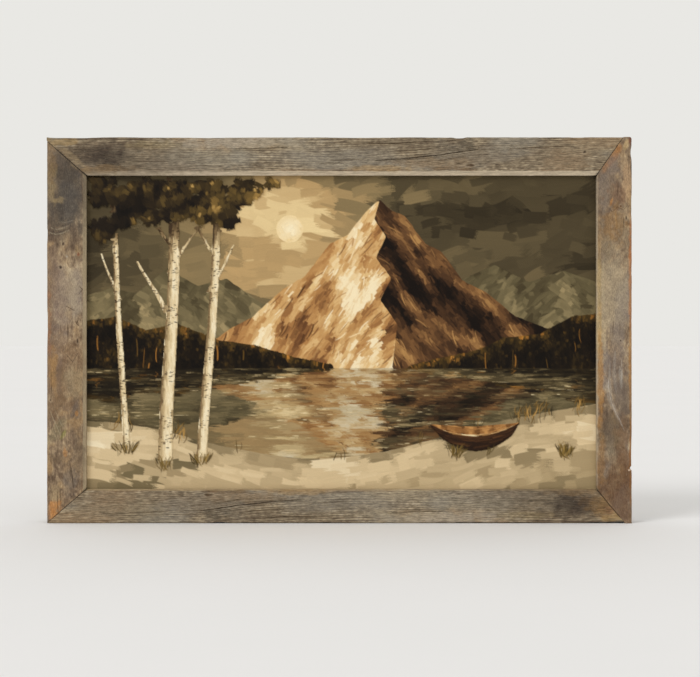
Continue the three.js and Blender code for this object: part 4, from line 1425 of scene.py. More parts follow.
@dataclass
class Motif:
    """A part of the scene: what it covers, its colours and how it is laid."""

    names: tuple[str, ...]
    stops: Stops
    passes: tuple[Pass, ...]
    seed: int
    lift: float = 0.0
    soft: float = 1.2
    falling: bool = True
    blocked: bool = True
    edge: Pair = (0.36, 0.64)
    filled: float = 0.5
    behind: float = 2.0
    planes: int = 0
    angle: float = 0.0
    sway: float = 0.3
    scale: Pair = (80, 80)
    top_of: tuple[str, ...] = ()

    def __post_init__(self) -> None:
        """Draws the motif's noise."""
        self.noise = Noise(self.seed)

    def prepare(self, surface: Surface, areas: Areas) -> None:
        """Finds the upper edge that the motif is measured from, before the first stroke."""
        if self.top_of:
            self.top = surface.x, areas.skyline(self.top_of)

    def below(self, x: Array, y: Array) -> Array:
        """How far each place lies below that upper edge."""
        return np.interp(x, *self.top) - y

    def cover(self, surface: Surface, areas: Areas) -> Array:
        """How far each point lies inside the motif."""
        return areas.clip(self.names, self.soft, self.behind)

    def tone(self, x: Array, y: Array) -> Array:
        """The place on the colour ramp, from 0 to 1."""
        return 0.5 + 0.3 * self.noise.rough(x / 40, y / 40)

    def flow(self, x: Array, y: Array) -> Array:
        """The way that strokes run, in radians."""
        return self.angle + self.sway * self.noise.rough(x / self.scale[0], y / self.scale[1], 2)

    def colour(self, x: Array, y: Array, tone: Array) -> Array:
        """The colour on the brush."""
        return ramp(self.stops, tone)

    def lay(self, surface: Surface, areas: Areas) -> None:
        """Blocks the area in and goes over it with each round of strokes.

        Args:
            surface: The face of the canvas.
            areas: Which part of the painting each point belongs to.
        """
        rng = np.random.default_rng(self.seed)
        clip = self.cover(surface, areas)
        self.prepare(surface, areas)
        rows, columns = np.nonzero(clip > self.filled)
        x, y = surface.x[columns], surface.y[rows]
        if self.blocked:
            surface.colour[rows, columns] = self.colour(x, y, self.tone(x, y))
            surface.height[rows, columns] = np.maximum(surface.height[rows, columns] * 0.4, self.lift)
        own = np.isin(areas.labels[rows, columns], areas.numbers(self.names))
        x, y = x[own], y[own]
        for coat in self.passes:
            mean = np.mean(coat.brush.length) * np.mean(coat.brush.width)
            count = int(len(x) * surface.pitch**2 * coat.cover / mean)
            chosen = rng.integers(0, len(x), count)
            cx = x[chosen] + rng.uniform(-0.5, 0.5, count)
            cy = y[chosen] + rng.uniform(-0.5, 0.5, count)
            if self.falling:
                order = np.argsort(-cy + rng.uniform(-9, 9, count))
                cx, cy = cx[order], cy[order]
            tone = self.tone(cx, cy)
            if self.planes:
                tone = (np.floor(tone * self.planes) + 0.5) / self.planes
            angle = self.flow(cx, cy) + rng.normal(0, coat.spread, count)
            first, second = (
                self.colour(cx, cy, tone + coat.lighter + rng.normal(0, coat.vary, count)) for _ in range(2)
            )
            for i in np.nonzero(tone > coat.above)[0]:
                edge, pair = rng.uniform(*self.edge), (first[i], second[i])
                surface.stroke((cx[i], cy[i]), angle[i], coat.brush, pair, clip, edge, self.lift, rng)


# ---------------- the scene that is painted

SHORE = -38.0
SUN_AT = (-54.0, 108.0)
CREST = ((-60, 50), (8, 58), (34, 40), (56, 52), (78, 36), (100, 46), (118, 34), (138, 40))
BOAT_MIDDLE = 139.0


class Sky(Motif):
    """An evening sky, bright round the low sun and brown towards the corners."""

    def bands(self, x: Array, y: Array) -> Array:
        """Long clouds over a paler horizon."""
        clouds = 0.22 * self.noise.rough(x / 110 + y / 260, y / 20 - x / 300, 3)
        return 0.26 + clouds + 0.16 * bell(y - 46, 34)

    def tone(self, x: Array, y: Array) -> Array:
        """Brighter near the sun and along the horizon."""
        away, bands = np.hypot((x - SUN_AT[0]) / 1.5, y - SUN_AT[1]), self.bands(x, y)
        return 0.62 * bell(away, 62) + 0.25 * bell(away, 22) + bands - 0.0007 * np.abs(x + 40)


class Sun(Motif):
    """The sun's disc, laid round and round."""

    def tone(self, x: Array, y: Array) -> Array:
        """Palest in the middle."""
        return 1.0 - 0.025 * np.hypot(x - SUN_AT[0], y - SUN_AT[1])

    def flow(self, x: Array, y: Array) -> Array:
        """Round the middle."""
        return np.arctan2(y - SUN_AT[1], x - SUN_AT[0]) + math.pi / 2


class Range(Motif):
    """Hills far off in the haze."""

    def slope(self, x: Array, y: Array) -> Array:
        """How high the hills swell."""
        return self.noise.rough(x / 26, y / 40, 3)

    def tone(self, x: Array, y: Array) -> Array:
        """Lit on the slopes that face the sun, paler below."""
        facing = np.where(x < SUN_AT[0], 0.5, -0.5) * (self.slope(x + 6, y) - self.slope(x - 6, y))
        return 0.42 + facing + 0.15 * self.noise.rough(x / 9, y / 14, 2) - 0.004 * (y - 20)

    def flow(self, x: Array, y: Array) -> Array:
        """Down the slopes, to either side."""
        return np.where(self.noise.value(x / 30, y / 50) > 0, math.radians(-38), math.radians(218))


@dataclass
class Slope(Motif):
    """One face of the peak, with gullies that run down it from the crest at the motif's own angle."""

    light: float = 0.5

    def rock(self, across: Array, down: Array) -> Array:
        """How high the rock stands."""
        return self.noise.rough(across / 26, down / 64, 3)

    def tone(self, x: Array, y: Array) -> Array:
        """Ribs catch the light, gullies hold the shade, and the foot is lost in haze.

        Args:
            x: Places across.
            y: Places up.

        Returns:
            The place on the colour ramp.
        """
        c, s = math.cos(self.angle), math.sin(self.angle)
        across, down = x * s - y * c + 9 * self.noise.rough(x / 60, y / 60, 2), x * c + y * s
        facing = self.rock(across - 2.5, down - 4) - self.rock(across + 2.5, down + 4)
        ledges = self.noise.rough(across / 30 + 9, down / 13, 3)
        near = np.exp(-np.abs(x - np.interp(y, *zip(*CREST))) / 14)
        haze = 0.12 * ease(10, -40, y)
        edge = 0.16 * near * (1 if self.light > 0.5 else -0.7)
        return self.light + 1.15 * facing + 0.16 * ledges + edge + haze + 0.0008 * y


class Woods(Motif):
    """Dark woods along the shore with a few trees in autumn leaf."""

    def tone(self, x: Array, y: Array) -> Array:
        """Dark below, with lit crowns along the top."""
        crowns = self.noise.rough(x / 9, y / 12, 3)
        return 0.16 + 0.42 * bell(self.below(x, y), 9) + 0.3 * crowns


class Lake(Motif):
    """Still water that mirrors what stands behind it, broken by level strokes."""

    SQUASH = 1.55

    def prepare(self, surface: Surface, areas: Areas) -> None:
        """Keeps a copy of the painted far shore to mirror."""
        self.mirror = copy.copy(surface)
        self.mirror.colour = surface.colour.copy()

    def tone(self, x: Array, y: Array) -> Array:
        """Glints under the sun and in slow bands."""
        column, ripples = bell(x - SUN_AT[0], 10 + 0.35 * (SHORE - y)), self.noise.rough(x / 60, y / 5, 3)
        return 0.3 + 0.34 * ripples + 0.35 * column * ease(0.0, 0.5, ripples + 0.2)

    def colour(self, x: Array, y: Array, tone: Array) -> Array:
        """The mirrored colour, darker, with the water's own light laid in.

        Args:
            x: Places across.
            y: Places up.
            tone: The place on the water's own ramp.

        Returns:
            A colour for each place.
        """
        shake = 5 * self.noise.rough(x / 30, y / 1.6, 2)
        cells = self.mirror.cells(x + shake, SHORE + (SHORE - y) * self.SQUASH + 2)
        own = ramp(self.stops, tone)
        return blend(self.mirror.colour[cells] * 0.74, own, ease(0.2, 1.0, tone) * 0.8 + 0.1)


class Bank(Motif):
    """The near bank of pale sand, wet along the water, with long shadows."""

    # Each shadow's foot and tip, with its width.
    SHADOWS = (
        ((-184, -134), (-290, -172), 9), ((-146, -130), (-236, -176), 6), ((-224, -118), (-300, -142), 5),
        ((104, -117), (214, -136), 10),
    )

    def tone(self, x: Array, y: Array) -> Array:
        """Pale sand, darker where it is wet or shaded.

        Args:
            x: Places across.
            y: Places up.

        Returns:
            The place on the colour ramp.
        """
        below = self.below(x, y)
        wet = bell(below, 5) + 0.5 * bell(below, 13)
        tone = 0.72 + 0.26 * self.noise.rough(x / 64, y / 14, 2) - 0.34 * wet - 0.0035 * (below - 20).clip(0)
        for start, end, wide in self.SHADOWS:
            run = (end[0] - start[0], end[1] - start[1])
            share = ((x - start[0]) * run[0] + (y - start[1]) * run[1]) / (run[0] ** 2 + run[1] ** 2)
            share = share.clip(0, 1)
            off = np.hypot(x - start[0] - run[0] * share, y - start[1] - run[1] * share)
            off = off + 2.5 * self.noise.rough(x / 9, y / 5, 2)
            tone = tone - 0.34 * ease(wide * 0.8, wide * 0.3, off)
        return tone

    def flow(self, x: Array, y: Array) -> Array:
        """Along the water's edge."""
        slope = self.below(x + 12, 0) - self.below(x - 12, 0)
        return np.arctan2(slope, 24) + 0.15 * self.noise.rough(x / 30, y / 12, 2)


class Reeds(Motif):
    """Dry grass that stands in tufts along the water's edge."""

    def tone(self, x: Array, y: Array) -> Array:
        """Thick in a few tufts just above the sand, and nowhere else."""
        tufts = self.noise.rough(x / 13, 0 * x + 4, 2) - np.abs(self.below(x, y) + 2) / 14
        return 0.55 + tufts - 0.55 * ease(200, 60, np.abs(x - 20))

    def flow(self, x: Array, y: Array) -> Array:
        """Up, leaning with the wind."""
        return 1.45 + 0.35 * self.noise.value(x / 3, y / 3)


class Tufts(Motif):
    """Longer grass that hides the feet of the birches and the boat's keel."""

    FEET = ((-146, -130), (-184, -135), (-224, -120), (118, -122), (152, -121), (232, -122))

    def tone(self, x: Array, y: Array) -> Array:
        """Thick at a few feet, and nowhere else."""
        near = np.max([bell(x - a, 13) * bell(y - b, 3.5) for a, b in self.FEET], axis=0)
        return 0.1 + 0.6 * near + 0.3 * self.noise.rough(x / 7, y / 4, 2)

    def flow(self, x: Array, y: Array) -> Array:
        """Fanned out from each foot.

        Args:
            x: Places across.
            y: Places up.

        Returns:
            The way that blades stand, in radians.
        """
        off = np.array([x - a for a, _ in self.FEET])
        nearest = np.take_along_axis(off, np.abs(off).argmin(0)[None], 0)[0]
        return math.pi / 2 - 0.055 * nearest.clip(-14, 14)


class Birch(Motif):
    """Pale bark, shaded on the side away from the sun."""

    def prepare(self, surface: Surface, areas: Areas) -> None:
        """Finds how far across its trunk each point lies.

        Args:
            surface: The face of the canvas.
            areas: Which part of the painting each point belongs to.
        """
        inside = [areas.labels == number for number in areas.numbers(self.names)]
        self.across = np.select(inside, [areas.share(name, 1) for name in self.names], 0.5)
        self.cells = surface.cells

    def tone(self, x: Array, y: Array) -> Array:
        """Light on the right of the trunk, with peeling bark, dark under the crown.

        Args:
            x: Places across.
            y: Places up.

        Returns:
            The place on the colour ramp.
        """
        across, bark = self.across[self.cells(x, y)], self.noise.rough(x / 3.5, y / 10, 3)
        tone = 0.3 + 0.62 * ease(0.02, 0.55, across) - 0.25 * ease(0.82, 1.0, across) + 0.14 * bark
        return tone - 0.85 * ease(82, 116, y + 6 * bark)


class BarkMarks(Motif):
    """The short dark bars and eyes on the bark."""

    def tone(self, x: Array, y: Array) -> Array:
        """Bunched up and down the trunk."""
        return 0.4 + 0.6 * self.noise.rough(x / 30, y / 16, 2)


class Crown(Motif):
    """Autumn leaves in clumps, lit by the sun from the right, with gaps that show the sky."""

    def cover(self, surface: Surface, areas: Areas) -> Array:
        """Loose along the edge, with gaps between the clumps.

        Args:
            surface: The face of the canvas.
            areas: Which part of the painting each point belongs to.

        Returns:
            How far each point lies inside.
        """
        deep = areas.clip(self.names, 12.0)
        gaps = self.noise.rough(surface.x[None, :] / 15, surface.y[:, None] / 11, 4)
        return super().cover(surface, areas) * ease(-0.1, 0.12, gaps + 0.25 + 1.1 * (deep - 0.5))

    def clump(self, x: Array, y: Array) -> Array:
        """How far the leaves stand out in rounded clumps."""
        return self.noise.rough(x / 24 + 60, y / 17, 3)

    def tone(self, x: Array, y: Array) -> Array:
        """Bright on the side of the sun."""
        facing, leaf = self.clump(x - 3, y + 2) - self.clump(x + 3, y - 2), self.noise.rough(x / 5, y / 5, 2)
        return 0.36 + 0.62 * facing + 0.16 * self.clump(x, y) + 0.0011 * (x + 190) + 0.1 * leaf


class Hull(Motif):
    """The boat's planks, dark below and lit along the rail."""

    def prepare(self, surface: Surface, areas: Areas) -> None:
        """Finds how far up the hull each point lies."""
        self.up = areas.share(self.names[0], 0)
        self.cells = surface.cells

    def tone(self, x: Array, y: Array) -> Array:
        """Three planks, the rail the brightest."""
        up, grain = self.up[self.cells(x, y)], 0.1 * self.noise.rough(x / 12, y / 3, 2)
        return 0.2 + 0.2 * up + 0.16 * ease(0.7, 1.0, (up * 3.2) % 1) + 0.5 * ease(0.86, 0.97, up) + grain

    def flow(self, x: Array, y: Array) -> Array:
        """Along the planks, which rise to bow and stern."""
        return 0.011 * (x - BOAT_MIDDLE)


class Hollow(Motif):
    """The inside of the boat: ribs and a thwart."""

    def tone(self, x: Array, y: Array) -> Array:
        """Light on the far planks, dark between the ribs."""
        ribs, grain = np.sin(x / 2.6), self.noise.rough(x / 9, y / 3, 2)
        return 0.55 + 0.25 * ease(0.5, 1.0, ribs) - 0.3 * ease(0.6, 1.0, -ribs) + 0.1 * grain

    def flow(self, x: Array, y: Array) -> Array:
        """Along the boat."""
        return 0.01 * (x - BOAT_MIDDLE)


def scene_motifs() -> list[Motif]:
    """The scene from back to front, with its colours.

    Returns:
        The motifs in the order in which they are laid.
    """
    leaf = Brush((4.5, 8.5), (2.4, 4.4), bend=0.15, ragged=0.3, body=0.18, rim=0.16, load=0.8)
    blade = replace(KNIFE, length=(16, 34), width=(7, 13))
    broad_knife = replace(KNIFE, length=(30, 64), width=(12, 22), rim=0.14)
    slab = replace(KNIFE, length=(10, 22), width=(4, 8), rim=0.22)
    chisel = replace(KNIFE, length=(6, 15), width=(2.2, 4.6), rim=0.2)
    ripple = Brush((16, 46), (1.8, 3.8), bend=0.01, ragged=0.3, dry=0.5, body=0.1, rim=0.06)
    glint = Brush((8, 24), (0.8, 1.6), bend=0.01, ragged=0.35, dry=0.5, body=0.14, rim=0.05)
    grass = Brush((9, 19), (0.8, 1.6), bend=0.22, ragged=0.1, body=0.12, rim=0.05)
    bark = Brush((9, 24), (1.6, 3.2), bend=0.02, body=0.2, rim=0.1)
    bar = Brush((2.0, 6.5), (0.7, 1.7), bend=0.12, ragged=0.3, body=0.16, rim=0.08)
    rock = (
        Pass(blade, 1.8, vary=0.05, spread=0.15),
        Pass(slab, 2.4, vary=0.06, spread=0.15),
        Pass(chisel, 2.0, vary=0.08, spread=0.2),
    )
    trunks = ("birch_slim", "birch_leaning", "birch_near")
    return [
        Sky(
            ("sky",), ((0, "2e2618"), (0.25, "594d35"), (0.5, "8b7752"), (0.75, "be9d6b"), (1, "ead09b")),
            (Pass(BROAD, 3.0, vary=0.03), Pass(broad_knife, 2.2, vary=0.02), Pass(blade, 0.7, 0.0, 0.035)),
            seed=21, behind=45.0, planes=9, angle=0.1, sway=0.35, scale=(130, 60),
        ),
        Sun(
            ("sun",), ((0, "c9a56a"), (0.6, "edd19a"), (1, "fbecc8")),
            (Pass(FILBERT, 3.0, vary=0.06, spread=0.1),), seed=22,
        ),
        Range(
            ("range_left", "range_right"),
            ((0, "463c27"), (0.35, "655a3e"), (0.65, "877855"), (1, "b29c70")),
            (Pass(FLAT, 2.0), Pass(slab, 1.0), Pass(FILBERT, 0.4, 0.08)), seed=23,
        ),
        Slope(
            ("peak_shade",),
            ((0, "130b06"), (0.25, "2b1b0f"), (0.5, "513620"), (0.75, "7d5733"), (1, "b48750")),
            (
                *rock, Pass(RIGGER, 0.12, -0.2, 0.1, spread=0.2),
                Pass(RIGGER, 0.1, 0.25, 0.1, above=0.45, spread=0.2),
            ),
            seed=24, light=0.4, angle=math.radians(-52), sway=0.35, scale=(45, 45),
        ),
        Slope(
            ("peak_lit",),
            (
                (0, "3c2614"), (0.22, "71492a"), (0.45, "ad7b47"), (0.65, "cd9f64"), (0.85, "e8c68d"),
                (1, "f8e6bf"),
            ),
            (
                *rock, Pass(RIGGER, 0.12, -0.3, 0.1, spread=0.2),
                Pass(RIGGER, 0.1, 0.25, 0.1, above=0.6, spread=0.2),
            ),
            seed=25, light=0.58, angle=math.radians(234), sway=0.35, scale=(45, 45),
        ),
        Woods(
            ("woods_left", "woods_right"),
            (
                (0, "0e0905"), (0.3, "1e150a"), (0.5, "3a2c13"), (0.7, "64491d"), (0.85, "97652a"),
                (1, "cf8d3e"),
            ),
            (
                Pass(FILBERT, 3.0), Pass(leaf, 1.4, 0.03, 0.15), Pass(leaf, 0.25, 0.2, above=0.42),
                Pass(replace(RIGGER, length=(10, 26), dry=0.1), 0.03, 0.62, 0.08, spread=0.02),
            ),
            seed=26, soft=1.4, edge=(0.2, 0.6), angle=math.pi / 2, sway=0.25, scale=(20, 20),
            top_of=("woods_left", "woods_right"),
        ),
        Lake(
            ("lake",), ((0, "2b2214"), (0.3, "574a30"), (0.6, "96835a"), (0.85, "cfb684"), (1, "efdcae")),
            (
                Pass(ripple, 3.2, vary=0.1, spread=0.015), Pass(glint, 0.8, 0.12, 0.18, spread=0.01),
                Pass(glint, 0.25, 0.45, 0.1, above=0.42, spread=0.01),
            ),
            seed=27, sway=0.0,
        ),
        Bank(
            ("bank",), ((0, "35281b"), (0.25, "6f6245"), (0.5, "ac9670"), (0.75, "dcc49a"), (1, "f3e4c2")),
            (
                Pass(BROAD, 2.4, vary=0.03, spread=0.1), Pass(broad_knife, 2.0, vary=0.02, spread=0.1),
                Pass(blade, 1.2, 0.0, 0.03, spread=0.12),
                Pass(replace(blade, width=(4, 7)), 0.3, 0.03, 0.04, above=0.5, spread=0.1),
            ),
            seed=28, planes=9, top_of=("bank",),
        ),
        Reeds(
            ("lake", "bank"), ((0, "20170b"), (0.4, "4b3a1b"), (0.7, "8d6c34"), (1, "c79a55")),
            (Pass(grass, 1.3, -0.2, 0.2, above=0.5, spread=0.2),),
            seed=35, falling=False, blocked=False, top_of=("bank",),
        ),
        Birch(
            trunks, ((0, "3f2f1e"), (0.35, "816947"), (0.65, "c9b084"), (0.85, "e6d0a4"), (1, "f6e7c4")),
            (
                Pass(bark, 2.6, vary=0.08, spread=0.04),
                Pass(replace(bark, length=(5, 14), width=(1.0, 2.2), body=0.24), 0.8, 0.08, spread=0.04),
            ),
            seed=30, lift=0.75, soft=0.35, behind=1.0, angle=math.pi / 2, sway=0.06, scale=(20, 20),
        ),
        BarkMarks(
            trunks, ((0, "140d07"), (0.5, "2b1d11"), (1, "6a5134")),
            (Pass(bar, 0.5, 0.0, 0.2, above=0.34, spread=0.15),),
            seed=31, lift=0.8, soft=0.35, blocked=False, angle=0.12, sway=0.2, scale=(9, 9),
        ),
        Hollow(
            ("boat_inside",), ((0, "2b190c"), (0.5, "8a5c30"), (1, "d39c5c")),
            (Pass(FILBERT, 2.6, vary=0.08, spread=0.05), Pass(RIGGER, 0.6, 0.1, 0.15, spread=0.05)),
            seed=32, lift=0.7, soft=0.5,
        ),
        Hull(
            ("boat_hull",),
            ((0, "0f0905"), (0.3, "2c1a0e"), (0.6, "6a4425"), (0.8, "b98c54"), (1, "f0dcae")),
            (Pass(replace(bark, length=(9, 26), width=(1.6, 3.0), bend=0.03), 3.0, vary=0.05, spread=0.03),),
            seed=33, lift=0.8, soft=0.5,
        ),
        Tufts(
            ("bank",), ((0, "241b0e"), (0.4, "53431f"), (0.7, "917438"), (1, "d0ab66")),
            (Pass(replace(grass, length=(9, 22), width=(0.8, 1.8), bend=0.25), 11, -0.15, 0.2, 0.45, 0.16),),
            seed=36, lift=1.1, falling=False, blocked=False, behind=14.0,
        ),
        Crown(
            ("leaves",),
            (
                (0, "100b07"), (0.25, "21180e"), (0.45, "3a2d17"), (0.62, "5b4824"), (0.8, "8b6c37"),
                (1, "c09a58"),
            ),
            (
                Pass(replace(slab, length=(9, 20), ragged=0.3), 2.6, -0.06, 0.06, spread=0.4),
                Pass(replace(slab, length=(8, 17), ragged=0.35), 1.8, 0.0, 0.05, spread=0.5),
                Pass(replace(leaf, length=(7, 13), width=(3, 5.5)), 0.7, 0.08, 0.07, above=0.34, spread=0.6),
                Pass(leaf, 0.16, 0.26, 0.1, above=0.46, spread=0.6),
            ),
            seed=34, lift=1.35, soft=3.2, falling=False, edge=(0.15, 0.7), filled=0.93,
            angle=math.radians(-72), sway=1.0, scale=(12, 12),
        ),
    ]


# ---------------- the painting's pieces


@dataclass(frozen=True)
class OilPaintFinish:
    """Oil paint: its own colour, with bristle lines, the weave below and an uneven gloss."""

    weave: float = 2600.0
    gloss: float = 0.12
    relief_mm: float = 0.16

    def material(self) -> Material:
        """Builds the finish.

        Returns:
            The material.
        """
        g = Graph("oil_paint")
        at = g.place()
        bristle = g.noise(at.stretched(900, 900, 2600), detail=3)
        patch = g.noise(at, 38, detail=3)
        sweep = at.stretched(self.weave, 0, self.weave)
        x, z = (g.node("ShaderNodeSeparateXYZ", sockets={"Vector": sweep}, output=axis) for axis in "XZ")
        normal = g.bump(0.4 * bristle + 0.12 * (x.sine() * z.sine()), self.relief_mm)
        rough = 0.42 + 0.3 * patch + 0.1 * bristle
        colour = g.shaded(0.9 + 0.2 * bristle)
        return g.finish(Base_Color=colour, Roughness=rough, Normal=normal, Specular_IOR_Level=self.gloss)


@dataclass
class Painting:
    """The painted scene as one thick skin of paint, parted along the solids' areas."""

    pitch: float = 0.7
    front: float = 0.25
    back: float = 0.7
    ground: str = "6b5637"
    most_quads: int = 95000

    # From the farthest area to the nearest, with the slot of its paint.
    AREAS = {
        "sky": "pale", "sun": "pale", "range_left": "middle", "range_right": "middle", "peak_shade": "dark",
        "peak_lit": "warm", "woods_left": "dark", "woods_right": "dark", "lake": "middle", "bank": "pale",
        "birch_slim": "pale", "birch_leaning": "pale", "birch_near": "pale", "boat_inside": "warm",
        "boat_hull": "dark", "leaves": "warm",
    }

    def __post_init__(self) -> None:
        """Sets out the face of the canvas from the solids."""
        (x0, x1), (z0, z1) = LAYOUT.sight
        self.middle = ((x0 + x1) / 2, (z0 + z1) / 2)
        self.half_sight = ((x1 - x0) / 2, (z1 - z0) / 2)
        spans = [[LAYOUT.span(f"paint_{name}", axis) for name in self.AREAS] for axis in (0, 2)]
        self.low = tuple(min(low for low, _ in found) - mid for found, mid in zip(spans, self.middle))
        self.high = tuple(max(high for _, high in found) - mid for found, mid in zip(spans, self.middle))
        self.level = LAYOUT.span("paint_sky", 1)[0]

    def paint(self) -> tuple[Surface, Areas]:
        """Paints the scene at twice the mesh's pitch.

        Returns:
            The painted surface and its areas.
        """
        fine = self.pitch / 2
        low, high = tuple(v - fine / 2 for v in self.low), tuple(v + fine for v in self.high)
        surface = Surface(low, high, fine, self.ground)
        areas = Areas(tuple(self.AREAS), surface, self.middle)
        for motif in scene_motifs():
            motif.lay(surface, areas)
            LOG.info("painted %s", ", ".join(motif.names))
        return surface, areas

    @staticmethod
    def halved(values: Array) -> Array:
        """Averages a field over squares of two points."""
        rows, columns = values.shape[0] // 2, values.shape[1] // 2
        return values[: rows * 2, : columns * 2].reshape(rows, 2, columns, 2, *values.shape[2:]).mean((1, 3))

    def build(self) -> None:
        """Paints the scene and makes its pieces."""
        surface, areas = self.paint()
        colour, height = self.halved(surface.colour), self.halved(surface.height)
        rows, columns = height.shape
        across, up = np.meshgrid(surface.x, surface.y)
        across, up = self.halved(across), self.halved(up)
        labels = self.tidied(areas.labels[1 : 2 * rows - 1 : 2, 1 : 2 * columns - 1 : 2]).ravel()
        free = np.minimum(self.half_sight[0] - np.abs(across), self.half_sight[1] - np.abs(up))
        height = np.minimum(height, 0.3 + 2.2 * ease(-0.5, 1.2, free))
        depth = self.level + self.front - height
        points = np.stack([across + self.middle[0], depth, up + self.middle[1]], -1).reshape(-1, 3)
        quads = grid_quads(rows, columns)[:, ::-1]
        material = OilPaintFinish().material()
        for number, (name, slot) in enumerate(self.AREAS.items()):
            chosen = quads[labels == number]
            parts = max(1, math.ceil(len(chosen) / self.most_quads))
            middle = points[chosen].mean(1)[:, 0]
            cuts = np.quantile(middle, np.linspace(0, 1, parts + 1)[1:-1])
            share = np.searchsorted(cuts, middle)
            for part in range(parts):
                ending = f"_{part + 1}" if parts > 1 else ""
                piece = self.slab(f"{name}_paint{ending}", points, chosen[share == part], colour)
                piece.build(material, f"paint_{slot}", f"paint_{name}", sharp=80)

    @staticmethod
    def tidied(labels: Array) -> Array:
        """Removes corners that touch, so that every area is cleanly bounded.

        Args:
            labels: The area of each quad, which is changed.

        Returns:
            The same labels.
        """
        for _ in range(12):
            a, b, c, d = labels[:-1, :-1], labels[:-1, 1:], labels[1:, :-1], labels[1:, 1:]
            first = (a == d) & (b != a) & (c != a)
            second = (b == c) & (a != b) & (d != b)
            if not (first.any() or second.any()):
                break
            row, column = np.nonzero(first)
            labels[row, column + 1] = labels[row, column]
            row, column = np.nonzero(second & ~first)
            labels[row, column] = labels[row, column + 1]
        return labels

    def slab(self, name: str, points: Array, quads: Array, colour: Array) -> Piece:
        """Closes some of the face's quads into a thin slab of paint.

        Args:
            name: The piece's name.
            points: Every point of the face, in millimetres.
            quads: The quads that belong to the piece.
            colour: The colour at every point.

        Returns:
            The piece.
        """
        used, index = np.unique(quads, return_inverse=True)
        quads = index.reshape(-1, 4)
        top, tints = points[used], colour.reshape(-1, 3)[used]
        edges = np.stack([quads, np.roll(quads, -1, 1)], -1).reshape(-1, 2)
        count = len(top)
        rim = edges[~np.isin(edges[:, 0] * count + edges[:, 1], edges[:, 1] * count + edges[:, 0])]
        rim_points, below = np.unique(rim, return_inverse=True)
        below = below.reshape(-1, 2) + count
        back = top[rim_points].copy()
        back[:, 1] = self.level + self.back
        walls = np.stack([rim[:, 1], rim[:, 0], below[:, 0], below[:, 1]], -1)
        everything = np.concatenate([top, back])
        caps = self.back_faces(everything, self.loops(below))
        colours = np.concatenate([tints, tints[rim_points]])
        piece = Piece(name, everything * MM, np.concatenate([quads, walls]), caps, colours)
        piece.uvs = self.unwrap(everything, quads, walls, caps)
        return piece

    @staticmethod
    def back_faces(points: Array, loops: list[Array]) -> list[Array]:
        """Fills the back's outlines with triangles that face away from the picture.

        Args:
            points: The slab's points.
            loops: Point numbers round each outline.

        Returns:
            The corners of each triangle.
        """
        flat = [[Vector((*points[i][[0, 2]], 0)) for i in loop] for loop in loops]
        order, caps = np.concatenate(loops), []
        for triangle in tessellate_polygon(flat):
            cap = order[list(triangle)]
            a, b, c = points[cap][:, [0, 2]]
            area = (b[0] - a[0]) * (c[1] - a[1]) - (b[1] - a[1]) * (c[0] - a[0])
            if abs(area) >= 1e-9:
                caps.append(cap[::-1] if area > 0 else cap)
        return caps

    @staticmethod
    def loops(edges: Array) -> list[Array]:
        """Joins directed edges into closed loops.

        Args:
            edges: Each edge's first and last point.

        Returns:
            Point numbers round each loop.
        """
        follows = dict(map(tuple, edges))
        found = []
        while follows:
            start, here = follows.popitem()
            loop = [start]
            while here != start:
                loop.append(here)
                here = follows.pop(here)
            found.append(np.array(loop))
        return found

    @staticmethod
    def unwrap(points: Array, quads: Array, walls: Array, caps: list[Array]) -> Array:
        """Lays the front out as it is seen, with the edge and the back in strips above it.

        Args:
            points: The slab's points.
            quads: The faces of its front.
            walls: The faces of its edge.
            caps: The faces of its back.

        Returns:
            A UV for each corner of each face.
        """
        low, high = points.min(0), points.max(0)
        seen = (points - low)[:, [0, 2]] / np.maximum(high - low, 1e-6)[[0, 2]]
        front = 0.01 + seen[quads.ravel()] * [0.98, 0.88]
        across = 0.01 + 0.98 * np.arange(len(walls)) / max(len(walls), 1)
        wall = [np.stack([across, np.full(len(across), v)], -1) for v in (0.91, 0.91, 0.925, 0.925)]
        back = [0.01, 0.94] + seen[np.concatenate(caps)] * [0.98, 0.05]
        return np.concatenate([front, np.stack(wall, 1).reshape(-1, 2), back])


# ---------------- the stretcher and its canvas


@dataclass(frozen=True)
class CottonFinish:
    """Plain woven cotton with uneven threads, bare or primed as its laid colour says."""

    relief_mm: float = 0.3
    foxing: str = "a98f69"

    def material(self) -> Material:
        """Builds the finish.

        Returns:
            The material.
        """
        g = Graph("canvas_cloth")
        at = g.place()
        warp = g.noise(at.stretched(2400, 150, 110), detail=2)
        weft = g.noise(at.stretched(110, 150, 2400), detail=2)
        slub = g.noise(at.stretched(26, 60, 520), detail=3)
        stain = g.noise(at, 15, detail=4)
        thread = 0.42 * warp + 0.42 * weft + 0.16 * slub
        colour = g.shaded(thread.between(0.3, 0.68, 0.66, 1.12))
        colour = g.mix(stain.between(0.5, 0.72, 0.0, 0.2), colour, tint(self.foxing))
        normal = g.bump(thread, self.relief_mm)
        rough = 0.82 + 0.14 * thread
        return g.finish(Base_Color=colour, Roughness=rough, Normal=normal, Specular_IOR_Level=0.2)


